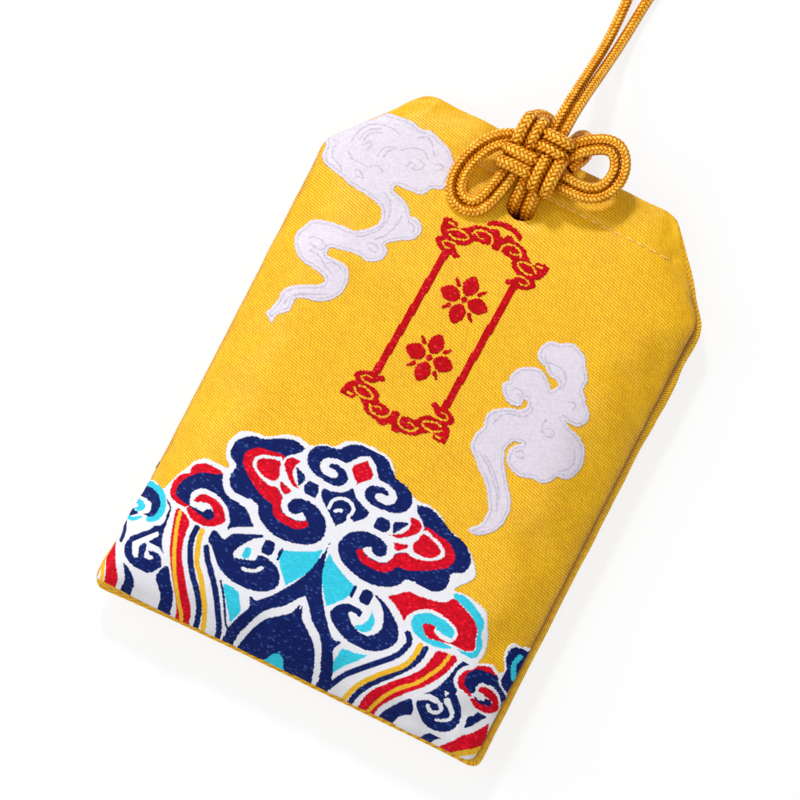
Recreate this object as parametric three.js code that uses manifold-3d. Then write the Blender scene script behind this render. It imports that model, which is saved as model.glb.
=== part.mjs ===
// An amulet bag of brocade that lies on its back, face up, with its mouth towards +Y. A braided cord
// goes through a hole under the mouth and round the mouth's edge, and is tied there in a square knot
// with two ears and a hanging loop. Millimetres, +Z up. The origin is under the middle of the bag,
// on the surface that it lies on.
import * as THREE from "three";
import { mergeVertices } from "three/addons/utils/BufferGeometryUtils.js";
import Module from "manifold-3d";

const wasm = await Module();
wasm.setup();

// Outline of the bag
const BAG_WIDTH = 56;
const BAG_HEIGHT = 76;
const CUT_ACROSS = 9.5; // width that each cut corner takes from the mouth
const CUT_DOWN = 11; // height that each cut corner takes from the side
const CORNER_REACH = 3; // from a corner to where its rounding starts

// Layers, from the outside in
const PANEL_WALL = 0.6;
const WADDING_THICKNESS = 1.2;
const LINING_WALL = 0.4;
const LAYER_GAP = 0.3;
const POCKET_FRONT = 2.2; // room above the seam, inside the front lining
const POCKET_BACK = 1.8; // room below the seam, inside the back lining

// Swell of the two halves
const FRONT_DOME = 0.6; // rise of the front's middle over the level part of its crown
const EDGE_RUN = 12; // from the seam to where a half levels out
const MOUTH_DEPTH = 1.3; // of each half at the mouth, where the bag is pressed flat
const FLATTENING_RUN = 24; // from the mouth to where the bag has its full depth
const POCKET_OVERLAP = 8; // how far the pocket reaches into that run
const POCKET_CUT = 7; // cut corners at the pocket's top
const SPINE_END = 22; // from the ends of a half to the ends of its ridge

// Seams and stitches
const SEAM_GAP = 0.3; // between the rims of the two halves
const SEAM_GROOVE = 0.8; // depth to which the seam is drawn in
const THREAD_RADIUS = 0.2;
const THREAD_GAP = 0.15; // from a stitch row to its panel
const HEM_DEPTH = 4.8; // from the mouth's edge to the stitch row
const HEM_END_ROOM = 3; // from the end of the stitch row to the cut corner

// Stiffener and charm
const CARD_THICKNESS = 0.6;
const CARD_ROOM = 4.6; // from the pocket's rim to the card
const ENVELOPE_MARGIN = 1; // by which the card is wider than the envelope, on each side
const ENVELOPE_END_ROOM = 3.4; // by which the card is longer than the envelope, at its top
const ENVELOPE_WALL = 0.2;
const SLIP_THICKNESS = 0.3;
const SLIP_GAP = 0.25; // between the slip and the envelope's walls
const SLIP_END_ROOM = 2; // from the slip to the envelope's open top

// Cord
const CORD_DIAMETER = 1.5;
const CORD_GAP = 0.3; // between strands, and from a strand to the knot
const CORD_SIDES = 8;
const HOLE_CLEARANCE = 0.35; // round the strands in the hole
const HOLE_DROP = 7.2; // from the mouth's edge to the strands in the hole
const NECK_ROOM = 1.2; // from the mouth's edge to the strands that go round it
const NECK_STEPS = 16;
const FLOOR_GAP = 0.05; // under the lowest strand

// Knot, a square pinwheel of four doubled strands on a pad
const KNOT_SIZE = 7.6;
const KNOT_PAD = 2.3; // thickness of the pad under the pinwheel
const KNOT_ROUND = 0.9; // rounding of the pad's edges
const KNOT_ANGLE = THREE.MathUtils.degToRad(82); // round the neck, from the line of the bag
const KNOT_RISE = 0.1; // of the knot's middle outside the neck's circle
const ARCH_SINK = 0.3; // of the pinwheel's strands in the pad
const ARCH_STEPS = 6;
const EAR_STEPS = 9;
const LOOP_STEPS = 40;

// The ears' outer strands, from the knot's middle: across, towards the loop, and up
const LEFT_EAR_ROUTE = [
  [-4.4, 1.4, 0],
  [-5.5, 1.2, 0],
  [-7.0, -0.6, -0.2],
  [-8.2, -3.0, -0.6],
  [-8.7, -5.6, -1.0],
  [-8.3, -7.9, -1.3],
  [-6.9, -9.5, -1.4],
  [-5.0, -9.9, -1.4],
  [-3.3, -8.8, -1.0],
  [-2.3, -6.8, -0.5],
  [-1.9, -5.2, -0.1],
  [-1.9, -4.3, 0],
];
const RIGHT_EAR_ROUTE = [
  [2.7, 4.3, 0],
  [3.0, 5.2, 0],
  [4.3, 6.2, 0],
  [6.0, 6.7, 0],
  [8.0, 6.7, -0.1],
  [9.8, 5.9, -0.2],
  [11.0, 4.2, -0.3],
  [11.3, 2.2, -0.4],
  [10.5, 0.3, -0.4],
  [8.7, -1.1, -0.3],
  [6.3, -1.5, -0.1],
  [4.3, -1.4, 0],
];

// One side of the hanging loop, from its start at the knot: across from the first strand, out along
// the bag's line, and the share of the way down to the surface
const LOOP_ROUTE = [
  [0.0, 0.0, 0.0],
  [0.1, 3.2, 0.05],
  [0.3, 6.6, 0.25],
  [0.5, 10.0, 0.53],
  [0.8, 14.0, 0.83],
  [1.1, 18.0, 0.97],
  [1.5, 23.0, 1.0],
  [2.1, 30.0, 1.0],
  [2.8, 37.5, 1.0],
  [3.4, 45.0, 1.0],
  [3.9, 51.0, 1.0],
  [3.7, 55.2, 1.0],
  [2.4, 58.5, 1.0],
];
const LOOP_REACH = 59.9; // to the loop's far end

// Resolution of the two halves
const CROWN_SHARES = [0.08, 0.25, 0.55, 1];
const CORNER_STEPS = 4;
const EDGE_SPLITS = [2, 3, 0, 2]; // points inside the bottom edge, side, cut corner and mouth
const HEM_POINTS = 9;
const HEM_STEPS = 12;
const THREAD_SIDES = 6;

// Worked out from the sizes above
const cordRadius = CORD_DIAMETER / 2;
const strandOffset = (CORD_DIAMETER + CORD_GAP) / 2;
const waddingOuter = PANEL_WALL + LAYER_GAP;
const liningOuter = waddingOuter + WADDING_THICKNESS + LAYER_GAP;
const liningInner = liningOuter + LINING_WALL;
const seamHeight = liningInner + POCKET_BACK;
const front = { depth: liningInner + POCKET_FRONT, dome: FRONT_DOME, up: 1 };
const back = { depth: seamHeight, dome: 0, up: -1 };
const mouth = BAG_HEIGHT / 2;
const bend = mouth - FLATTENING_RUN; // where the flattening starts
const bagEdge = {
  side: BAG_WIDTH / 2,
  bottom: -BAG_HEIGHT / 2,
  top: mouth,
  cutAcross: CUT_ACROSS,
  cutDown: CUT_DOWN,
};
const pocketEdge = {
  ...bagEdge,
  top: bend + POCKET_OVERLAP,
  cutAcross: POCKET_CUT,
  cutDown: POCKET_CUT,
};
const neckRadius = (HOLE_DROP + NECK_ROOM + cordRadius) / 2;
const neckCentre = new THREE.Vector3(
  0,
  mouth - HOLE_DROP + neckRadius,
  neckRadius + cordRadius + FLOOR_GAP,
);

const material = (color, roughness) =>
  new THREE.MeshStandardMaterial({ color, roughness, metalness: 0 });
const brocade = material(0xf3b21e, 0.45);
const wadding = material(0xf4f1ea, 0.95);
const lining = material(0xe9c25a, 0.7);
const card = material(0xcdb894, 0.85);
const paper = material(0xf5f0e2, 0.8);
const stitch = material(0xe8b64a, 0.6);
const braid = material(0xde961c, 0.4);

// A geometry as a solid for joins and cuts, without the faces that have shrunk to a line.
function solid(geometry) {
  const bare = geometry.clone();
  bare.deleteAttribute("normal");
  bare.deleteAttribute("uv");
  const merged = mergeVertices(bare);
  const corners = merged.index.array;
  const triangles = [];
  for (let i = 0; i < corners.length; i += 3) {
    const [a, b, c] = corners.slice(i, i + 3);
    if (a !== b && b !== c && c !== a) triangles.push(a, b, c);
  }
  return new wasm.Manifold(
    new wasm.Mesh({
      numProp: 3,
      vertProperties: merged.attributes.position.array,
      triVerts: new Uint32Array(triangles),
    }),
  );
}

// A solid as a geometry again.
function geometryOf(body) {
  const mesh = body.getMesh();
  const geometry = new THREE.BufferGeometry();
  geometry.setAttribute("position", new THREE.BufferAttribute(mesh.vertProperties, 3));
  geometry.setIndex(new THREE.BufferAttribute(mesh.triVerts, 1));
  geometry.computeVertexNormals();
  return geometry;
}

function piece(name, geometry, finish) {
  const mesh = new THREE.Mesh(geometry, finish);
  mesh.name = name;
  return mesh;
}

function roundSection(radius, sides) {
  const points = [];
  for (let i = 0; i < sides; i += 1) {
    const angle = ((i + 0.5) / sides) * 2 * Math.PI;
    points.push(new THREE.Vector2(radius * Math.cos(angle), radius * Math.sin(angle)));
  }
  return new THREE.Shape(points);
}

function tube(points, radius, sides, steps) {
  const extrudePath = new THREE.CatmullRomCurve3(points);
  return new THREE.ExtrudeGeometry(roundSection(radius, sides), { steps, extrudePath });
}

// Points between a and b, without the two ends.
function between(a, b, count) {
  return Array.from({ length: count }, (_, i) => a.clone().lerp(b, (i + 1) / (count + 1)));
}

// The lines of the outline that lie on the right, moved in by the inset: the cut corner's outward
// direction and its distance from the origin along it.
function cutLine(edge, inset) {
  const outward = new THREE.Vector2(edge.cutDown, edge.cutAcross).normalize();
  const shoulder = new THREE.Vector2(edge.side, edge.top - edge.cutDown);
  return { outward, distance: outward.dot(shoulder) - inset };
}

// The right half of the outline, moved in by the inset, from the middle of the bottom to the mouth's.
// Each side has a point where the flattening starts.
function halfOutline(edge, inset) {
  const side = edge.side - inset;
  const top = edge.top - inset;
  const { outward, distance } = cutLine(edge, inset);
  const corners = [
    new THREE.Vector2(0, edge.bottom + inset),
    new THREE.Vector2(side, edge.bottom + inset),
    new THREE.Vector2(side, (distance - outward.x * side) / outward.y),
    new THREE.Vector2((distance - outward.y * top) / outward.x, top),
    new THREE.Vector2(0, top),
  ];
  const points = [corners[0]];
  for (let k = 1; k < corners.length - 1; k += 1) {
    const [before, corner, after] = corners.slice(k - 1, k + 2);
    const start = before.clone().sub(corner).setLength(CORNER_REACH).add(corner);
    const end = after.clone().sub(corner).setLength(CORNER_REACH).add(corner);
    const turn = start.clone();
    if (k === 2) turn.y = THREE.MathUtils.clamp(bend, points.at(-1).y, start.y);
    points.push(...between(points.at(-1), turn, EDGE_SPLITS[k - 1]), turn);
    points.push(...new THREE.QuadraticBezierCurve(start, corner, end).getPoints(CORNER_STEPS));
  }
  points.push(...between(points.at(-1), corners.at(-1), EDGE_SPLITS.at(-1)), corners.at(-1));
  return points;
}

function ring(edge, inset, heightAt) {
  const right = halfOutline(edge, inset);
  const left = right.slice(1, -1).reverse();
  const outline = [...right, ...left.map((p) => new THREE.Vector2(-p.x, p.y))];
  return outline.map((p) => new THREE.Vector3(p.x, p.y, heightAt(p.y)));
}

// How far the bag is pressed flat at this distance along it: 0 in its body and 1 at its mouth.
const flatness = (y) => THREE.MathUtils.clamp((y - bend) / FLATTENING_RUN, 0, 1);

// Height of a half's surface, some depth under its outside, at a share of the run from the seam.
function height(half, under, share, y) {
  const depth = THREE.MathUtils.lerp(half.depth, MOUTH_DEPTH, flatness(y));
  const rise = Math.sqrt(1 - (1 - share) ** 2);
  return seamHeight + half.up * (SEAM_GAP / 2 + (depth - under - SEAM_GAP / 2) * rise);
}

// Rings of a half's surface from the rim at the seam to the ridge down its middle.
function surfaceRings(half, edge, under) {
  const rim = ring(edge, SEAM_GROOVE + under, (y) => height(half, under, 0, y));
  const crown = CROWN_SHARES.map((share) =>
    ring(edge, share * EDGE_RUN + under, (y) => height(half, under, share, y)),
  );
  const ridge = crown.at(-1).map((p) => {
    const y = THREE.MathUtils.clamp(p.y, edge.bottom + SPINE_END, edge.top - SPINE_END);
    const dome = half.up * half.dome * (1 - flatness(y));
    return new THREE.Vector3(0, y, height(half, under, 1, y) + dome);
  });
  return [rim, ...crown, ridge];
}

// A closed shell whose rings go from the outer ridge out to the rim and back to the inner ridge.
function shell(half, outerRings, innerRings) {
  const rings = [...outerRings.reverse(), ...innerRings];
  const count = rings[0].length;
  const faces = [];
  for (let j = 0; j + 1 < rings.length; j += 1) {
    for (let i = 0; i < count; i += 1) {
      const a = j * count + i;
      const b = j * count + ((i + 1) % count);
      faces.push(a, a + count, b + count, a, b + count, b);
    }
  }
  if (half.up < 0) faces.reverse();
  const geometry = new THREE.BufferGeometry().setFromPoints(rings.flat());
  geometry.setIndex(faces);
  return geometry;
}

// A brocade panel: its edge is drawn in along the seam, so its outside has a lip round the groove.
function panel(half, tunnel) {
  const [rim, ...crown] = surfaceRings(half, bagEdge, 0);
  const lip = ring(bagEdge, 0, () => seamHeight + half.up * (SEAM_GROOVE + SEAM_GAP / 2));
  const made = shell(half, [rim, lip, ...crown], surfaceRings(half, bagEdge, PANEL_WALL));
  return geometryOf(solid(made).subtract(tunnel));
}

function pocketLayer(half, outer, inner) {
  const outside = surfaceRings(half, pocketEdge, outer);
  return shell(half, outside, surfaceRings(half, pocketEdge, inner));
}

// Height of a panel's outside anywhere on it.
function panelHeight(half, x, y) {
  const { outward, distance } = cutLine(bagEdge, 0);
  const fromCut = distance - outward.x * Math.abs(x) - outward.y * y;
  const fromEdge = Math.min(fromCut, bagEdge.side - Math.abs(x), y - bagEdge.bottom, mouth - y);
  return height(half, 0, Math.min(fromEdge / EDGE_RUN, 1), y);
}

// The stitch row under the mouth, lying on a panel.
function hemThread(half) {
  const y = mouth - HEM_DEPTH;
  const end = bagEdge.side - CUT_ACROSS * (1 - HEM_DEPTH / CUT_DOWN) - HEM_END_ROOM;
  const points = Array.from({ length: HEM_POINTS }, (_, i) => {
    const x = THREE.MathUtils.lerp(-end, end, i / (HEM_POINTS - 1));
    const clear = half.up * (THREAD_RADIUS + THREAD_GAP);
    return new THREE.Vector3(x, y, panelHeight(half, x, y) + clear);
  });
  return tube(points, THREAD_RADIUS, THREAD_SIDES, HEM_STEPS);
}

// The neck's circle as seen by one strand, with the pivot at the origin and the pivot axis along X.
function neckCircle(x, radius) {
  const circle = new THREE.TorusGeometry(neckRadius, radius, CORD_SIDES, NECK_STEPS);
  return solid(circle.rotateY(Math.PI / 2).translate(x, 0, 0));
}

function bagGroup() {
  const group = new THREE.Group();
  const clear = cordRadius + HOLE_CLEARANCE;
  const tunnel = neckCircle(-strandOffset, clear)
    .add(neckCircle(strandOffset, clear))
    .translate(neckCentre.toArray());
  const waddingInner = waddingOuter + WADDING_THICKNESS;
  for (const [side, half] of Object.entries({ front, back })) {
    group.add(piece(`${side}_panel`, panel(half, tunnel), brocade));
    group.add(piece(`${side}_wadding`, pocketLayer(half, waddingOuter, waddingInner), wadding));
    group.add(piece(`${side}_lining`, pocketLayer(half, liningOuter, liningInner), lining));
    group.add(piece(`${side}_hem_thread`, hemThread(half), stitch));
  }

  // The seam threads lie in the groove, clear of both its walls.
  const inset = SEAM_GROOVE + SEAM_GAP / 2 - Math.SQRT2 * (THREAD_RADIUS + LAYER_GAP);
  const sideLength = BAG_HEIGHT - CUT_DOWN - 2 * CORNER_REACH;
  for (const [side, way] of Object.entries({ left: -1, right: 1 })) {
    const thread = new THREE.CylinderGeometry(
      THREAD_RADIUS,
      THREAD_RADIUS,
      sideLength,
      THREAD_SIDES,
    );
    const mesh = piece(`${side}_seam_thread`, thread, stitch);
    mesh.position.set(way * (bagEdge.side - inset), -CUT_DOWN / 2, seamHeight);
    group.add(mesh);
  }
  const bottomLength = BAG_WIDTH - 2 * CORNER_REACH;
  const bottomThread = piece(
    "bottom_seam_thread",
    new THREE.CylinderGeometry(THREAD_RADIUS, THREAD_RADIUS, bottomLength, THREAD_SIDES),
    stitch,
  );
  bottomThread.rotation.z = Math.PI / 2;
  bottomThread.position.set(0, bagEdge.bottom + inset, seamHeight);
  group.add(bottomThread);
  return group;
}

// The stiffener card on the back lining, and the charm in its envelope on the card.
function contentsGroup() {
  const group = new THREE.Group();
  const rim = SEAM_GROOVE + liningInner;
  const cardWidth = BAG_WIDTH - 2 * (rim + CARD_ROOM);
  const cardBottom = bagEdge.bottom + rim + CARD_ROOM;
  const cardLength = pocketEdge.top - rim - CARD_ROOM - cardBottom;
  const edgeShare = (SEAM_GROOVE + CARD_ROOM) / EDGE_RUN;
  const seat = height(back, liningInner, edgeShare, cardBottom) + LAYER_GAP;
  const cardMesh = piece(
    "stiffener_card",
    new THREE.BoxGeometry(cardWidth, cardLength, CARD_THICKNESS),
    card,
  );
  cardMesh.position.set(0, cardBottom + cardLength / 2, seat + CARD_THICKNESS / 2);

  const width = cardWidth - 2 * ENVELOPE_MARGIN;
  const length = cardLength - ENVELOPE_END_ROOM;
  const hollow = SLIP_THICKNESS + 2 * SLIP_GAP;
  const thickness = hollow + 2 * ENVELOPE_WALL;
  const hollowWidth = width - 2 * ENVELOPE_WALL;
  const sleeve = solid(new THREE.BoxGeometry(width, length, thickness)).subtract(
    solid(new THREE.BoxGeometry(hollowWidth, length, hollow).translate(0, ENVELOPE_WALL, 0)),
  );
  const slipLength = length - ENVELOPE_WALL - SLIP_GAP - SLIP_END_ROOM;
  const slip = piece(
    "charm_slip",
    new THREE.BoxGeometry(hollowWidth - 2 * SLIP_GAP, slipLength, SLIP_THICKNESS),
    paper,
  );
  slip.position.y = -length / 2 + ENVELOPE_WALL + SLIP_GAP + slipLength / 2;
  const charm = new THREE.Group();
  charm.add(piece("charm_envelope", geometryOf(sleeve), paper), slip);
  const charmMiddle = seat + CARD_THICKNESS + LAYER_GAP + thickness / 2;
  charm.position.set(0, cardBottom + length / 2, charmMiddle);
  group.add(cardMesh, charm);
  return group;
}

// The knot's pad with its pinwheel: in each quarter a doubled strand comes over from the pad's edge
// and dives under the next one.
function knotCore() {
  const half = KNOT_SIZE / 2 - KNOT_ROUND;
  const square = new THREE.Shape([
    new THREE.Vector2(-half, -half),
    new THREE.Vector2(half, -half),
    new THREE.Vector2(half, half),
    new THREE.Vector2(-half, half),
  ]);
  const pad = new THREE.ExtrudeGeometry(square, {
    depth: KNOT_PAD - 2 * KNOT_ROUND,
    bevelThickness: KNOT_ROUND,
    bevelSize: KNOT_ROUND,
    bevelSegments: 2,
    steps: 1,
  });
  const archHeight = KNOT_PAD / 2 + cordRadius - ARCH_SINK;
  let made = solid(pad.translate(0, 0, KNOT_ROUND - KNOT_PAD / 2));
  for (let quarter = 0; quarter < 4; quarter += 1) {
    for (const place of [0.25, 0.75]) {
      const x = (-place * KNOT_SIZE) / 2;
      const start = KNOT_SIZE / 2 - cordRadius;
      const arch = [
        new THREE.Vector3(x, start, 0),
        new THREE.Vector3(x, start - ARCH_SINK, archHeight * 0.7),
        new THREE.Vector3(x, start - CORD_DIAMETER, archHeight),
        new THREE.Vector3(x, cordRadius, archHeight),
        new THREE.Vector3(x, -cordRadius, 0),
      ];
      const strand = tube(arch, cordRadius, CORD_SIDES, ARCH_STEPS);
      made = made.add(solid(strand.rotateZ((-quarter * Math.PI) / 2)));
    }
  }
  return made;
}

// An ear's inner strand follows its outer one on the left or right of its way.
function innerRoute(route, way) {
  const curve = new THREE.CatmullRomCurve3(route);
  return route.map((point, i) => {
    const along = curve.getTangent(i / (route.length - 1));
    const across = new THREE.Vector3(-along.y, along.x, 0).setLength(2 * strandOffset);
    return point.clone().addScaledVector(across, way);
  });
}

function ears() {
  const made = [];
  const routes = { left: [LEFT_EAR_ROUTE, 1], right: [RIGHT_EAR_ROUTE, -1] };
  for (const [side, [route, way]] of Object.entries(routes)) {
    const outer = route.map((p) => new THREE.Vector3(...p));
    const strands = { outer, inner: innerRoute(outer, way) };
    for (const [name, points] of Object.entries(strands)) {
      const strand = tube(points, cordRadius, CORD_SIDES, EAR_STEPS);
      made.push(piece(`${side}_ear_${name}`, strand, braid));
    }
  }
  return made;
}

// The hanging loop, with its pivot at the origin. Its two ends are round.
function hangingLoop(drop) {
  const side = LOOP_ROUTE.map(([x, y, share]) => {
    return new THREE.Vector3(strandOffset + x, y, -drop * share);
  });
  const left = side.map((p) => new THREE.Vector3(-p.x, p.y, p.z)).reverse();
  const far = new THREE.Vector3(0, LOOP_REACH, -drop);
  const run = tube([...side, far, ...left], cordRadius, CORD_SIDES, LOOP_STEPS);
  let made = solid(run);
  for (const x of [-strandOffset, strandOffset]) {
    const end = new THREE.SphereGeometry(cordRadius, CORD_SIDES, CORD_SIDES / 2);
    made = made.add(solid(end.translate(x, 0, 0)));
  }
  return geometryOf(made);
}

// The cord: the neck turns round the mouth's edge with the knot, and the loop swings on the knot.
function cordGroup() {
  const swing = new THREE.Group();
  swing.position.copy(neckCentre);
  const knotReach = neckRadius + KNOT_RISE;
  const knotPlace = new THREE.Vector3(
    0,
    knotReach * Math.cos(KNOT_ANGLE),
    knotReach * Math.sin(KNOT_ANGLE),
  );
  const core = knotCore();
  const { min, max } = core.boundingBox();
  const seat = new THREE.BoxGeometry(
    max[0] - min[0] + 2 * CORD_GAP,
    max[1] - min[1] + 2 * CORD_GAP,
    max[2] - min[2] + 2 * CORD_GAP,
  );
  seat.translate(0, 0, (max[2] + min[2]) / 2);
  seat.translate(...knotPlace.toArray());
  for (const [side, way] of Object.entries({ left: -1, right: 1 })) {
    const strand = neckCircle(way * strandOffset, cordRadius).subtract(solid(seat));
    swing.add(piece(`neck_strand_${side}`, geometryOf(strand), braid));
  }
  const knot = new THREE.Group();
  knot.position.copy(knotPlace);
  knot.add(piece("knot_core", geometryOf(core), braid), ...ears());
  const loopStart = max[1] + CORD_GAP + cordRadius;
  const drop = neckCentre.z + knotPlace.z - cordRadius - FLOOR_GAP;
  const loop = piece("hanging_loop", hangingLoop(drop), braid);
  loop.position.y = loopStart;
  knot.add(loop);
  swing.add(knot);
  return swing;
}

const amuletBag = new THREE.Group();
amuletBag.add(bagGroup(), contentsGroup(), cordGroup());

export default amuletBag;
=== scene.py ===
"""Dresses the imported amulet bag: padded satin panels, woven figures, braided cord, stitches."""

import logging
import math
from dataclasses import dataclass, field, replace
from enum import Enum

import bpy
import numpy as np
from bpy.types import ID, Material, Mesh, Modifier, Node, NodeSocket, NodeTree, Object
from mathutils import Matrix, Vector
from mathutils.bvhtree import BVHTree
from mathutils.kdtree import KDTree


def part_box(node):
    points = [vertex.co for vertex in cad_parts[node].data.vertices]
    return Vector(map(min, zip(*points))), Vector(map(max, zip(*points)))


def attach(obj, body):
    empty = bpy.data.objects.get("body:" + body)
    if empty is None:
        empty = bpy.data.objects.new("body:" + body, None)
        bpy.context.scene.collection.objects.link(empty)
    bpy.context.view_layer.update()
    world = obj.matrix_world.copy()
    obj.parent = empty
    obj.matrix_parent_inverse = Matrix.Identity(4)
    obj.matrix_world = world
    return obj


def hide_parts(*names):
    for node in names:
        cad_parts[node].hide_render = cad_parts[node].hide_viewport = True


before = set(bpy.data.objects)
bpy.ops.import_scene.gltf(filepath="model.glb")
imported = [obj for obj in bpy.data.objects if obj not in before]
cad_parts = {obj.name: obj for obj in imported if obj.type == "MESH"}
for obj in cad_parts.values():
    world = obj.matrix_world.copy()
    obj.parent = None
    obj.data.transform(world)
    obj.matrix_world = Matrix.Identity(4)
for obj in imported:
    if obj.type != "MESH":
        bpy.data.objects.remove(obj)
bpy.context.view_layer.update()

MM = 0.001
LOG = logging.getLogger("amulet_bag")
SEAM_HEIGHT = 4.6
HEM_LINE = 33.2
Points = np.ndarray
Spots = tuple[tuple[float, ...], ...]
Row = tuple[float, ...]
Art = tuple[tuple, ...]


def linear(red: int, green: int, blue: int) -> tuple[float, float, float, float]:
    """A colour written as 0 to 255 sRGB, as the linear RGBA that nodes take."""
    parts = (np.array([red, green, blue]) / 255 + 0.055) / 1.055
    return (*(float(p) for p in parts**2.4), 1.0)


class Thread(Enum):
    """Colours of the threads that the figures are woven in."""

    WHITE = linear(222, 214, 226)
    SNOW = linear(233, 233, 239)
    CONTOUR = linear(198, 189, 206)
    NAVY = linear(12, 30, 94)
    RED = linear(210, 6, 34)
    SCARLET = linear(190, 3, 16)
    AQUA = linear(54, 200, 226)
    YELLOW = linear(240, 186, 44)


def pairs(row: Row | Points) -> Points:
    """A row of x, y, x, y and so on, in millimetres, as points."""
    return np.reshape(row, (-1, 2)).astype(float)


def curve_through(spots: Points | Spots, closed: bool, steps: int) -> Points:
    """Catmull-Rom points through the given ones.

    Args:
        spots: points in rows, of two or three numbers each.
        closed: whether the line comes back to its start.
        steps: points made for each stretch between two given ones.

    Returns:
        The finer points, in rows.
    """
    spots = np.asarray(spots, float)
    if closed:
        padded = np.vstack([spots[-1:], spots, spots[:2]])
    else:
        padded = np.vstack([2 * spots[:1] - spots[1:2], spots, 2 * spots[-1:] - spots[-2:-1]])
    a, b, c, d = padded[:-3], padded[1:-2], padded[2:-1], padded[3:]
    t = (np.arange(steps) / steps)[None, :, None]
    a, b, c, d = (p[:, None, :] for p in (a, b, c, d))
    cubic = (2 * b + (c - a) * t + (2 * a - 5 * b + 4 * c - d) * t**2) / 2
    cubic = cubic + (3 * b - a - 3 * c + d) * t**3 / 2
    line = cubic.reshape(-1, spots.shape[1])
    return line if closed else np.vstack([line, spots[-1:]])


def add_object(name: str, data: ID) -> Object:
    """An object of that name at the origin, linked to the scene."""
    made = bpy.data.objects.new(name, data)
    bpy.context.scene.collection.objects.link(made)
    return made


def add_mesh(name: str, points: Points, faces: list) -> Object:
    """A smooth mesh object from points in millimetres and their faces."""
    mesh = bpy.data.meshes.new(name)
    mesh.from_pydata((np.asarray(points, float) * MM).tolist(), [], faces)
    mesh.shade_smooth()
    return add_object(name, mesh)


def mesh_points(mesh: Mesh) -> Points:
    """The places of a mesh's vertices in millimetres."""
    flat = np.zeros(len(mesh.vertices) * 3, np.float32)
    mesh.vertices.foreach_get("co", flat)
    return flat.reshape(-1, 3).astype(float) / MM


def set_points(mesh: Mesh, points: Points) -> None:
    """Moves a mesh's vertices to places in millimetres."""
    mesh.vertices.foreach_set("co", (points * MM).astype(np.float32).ravel())
    mesh.update()


def share_between(values: Points, start: float, end: float) -> Points:
    """How far values lie on the way from a start to an end, from 0 to 1."""
    return np.clip((values - start) / (end - start), 0, 1)


def point_finder(points: Points) -> KDTree:
    """A search tree of points."""
    finder = KDTree(len(points))
    for k, point in enumerate(points):
        finder.insert(point, k)
    finder.balance()
    return finder


def bake_modifiers(made: Object) -> Object:
    """Replaces an object's mesh by its evaluated one and removes its modifiers."""
    bpy.context.view_layer.update()
    graph = bpy.context.evaluated_depsgraph_get()
    mesh = bpy.data.meshes.new_from_object(made.evaluated_get(graph), depsgraph=graph)
    made.modifiers.clear()
    old, made.data = made.data, mesh
    bpy.data.meshes.remove(old)
    return made


def face_tree(mesh: Mesh) -> BVHTree:
    """A search tree of a mesh's faces, in millimetres."""
    return BVHTree.FromPolygons(mesh_points(mesh).tolist(), [tuple(p.vertices) for p in mesh.polygons])


def ring_faces(rings: int, count: int, turned: bool = False) -> list:
    """Quads between rings of points, each ring closed and of the same count."""
    faces = []
    for j in range(rings - 1):
        for i in range(count):
            k = (i + 1) % count
            quad = [j * count + i, j * count + k, (j + 1) * count + k, (j + 1) * count + i]
            faces.append(quad[::-1] if turned else quad)
    return faces


def corner_points(mesh: Mesh) -> Points:
    """The vertex number at each corner of a mesh's faces."""
    corner = np.zeros(len(mesh.loops), np.int32)
    mesh.loops.foreach_get("vertex_index", corner)
    return corner


def write_pattern(mesh: Mesh, flats: Points) -> None:
    """Keeps the flat pattern's places of a mesh's vertices as its UV map."""
    layer = mesh.uv_layers.new(name="flat")
    layer.data.foreach_set("uv", flats[corner_points(mesh)].astype(np.float32).ravel())


def write_shares(mesh: Mesh, name: str, values: Points) -> None:
    """Keeps a number for each vertex, which a material reads by name."""
    mesh.attributes.new(name, "FLOAT", "POINT").data.foreach_set("value", values.astype(np.float32))


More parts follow.
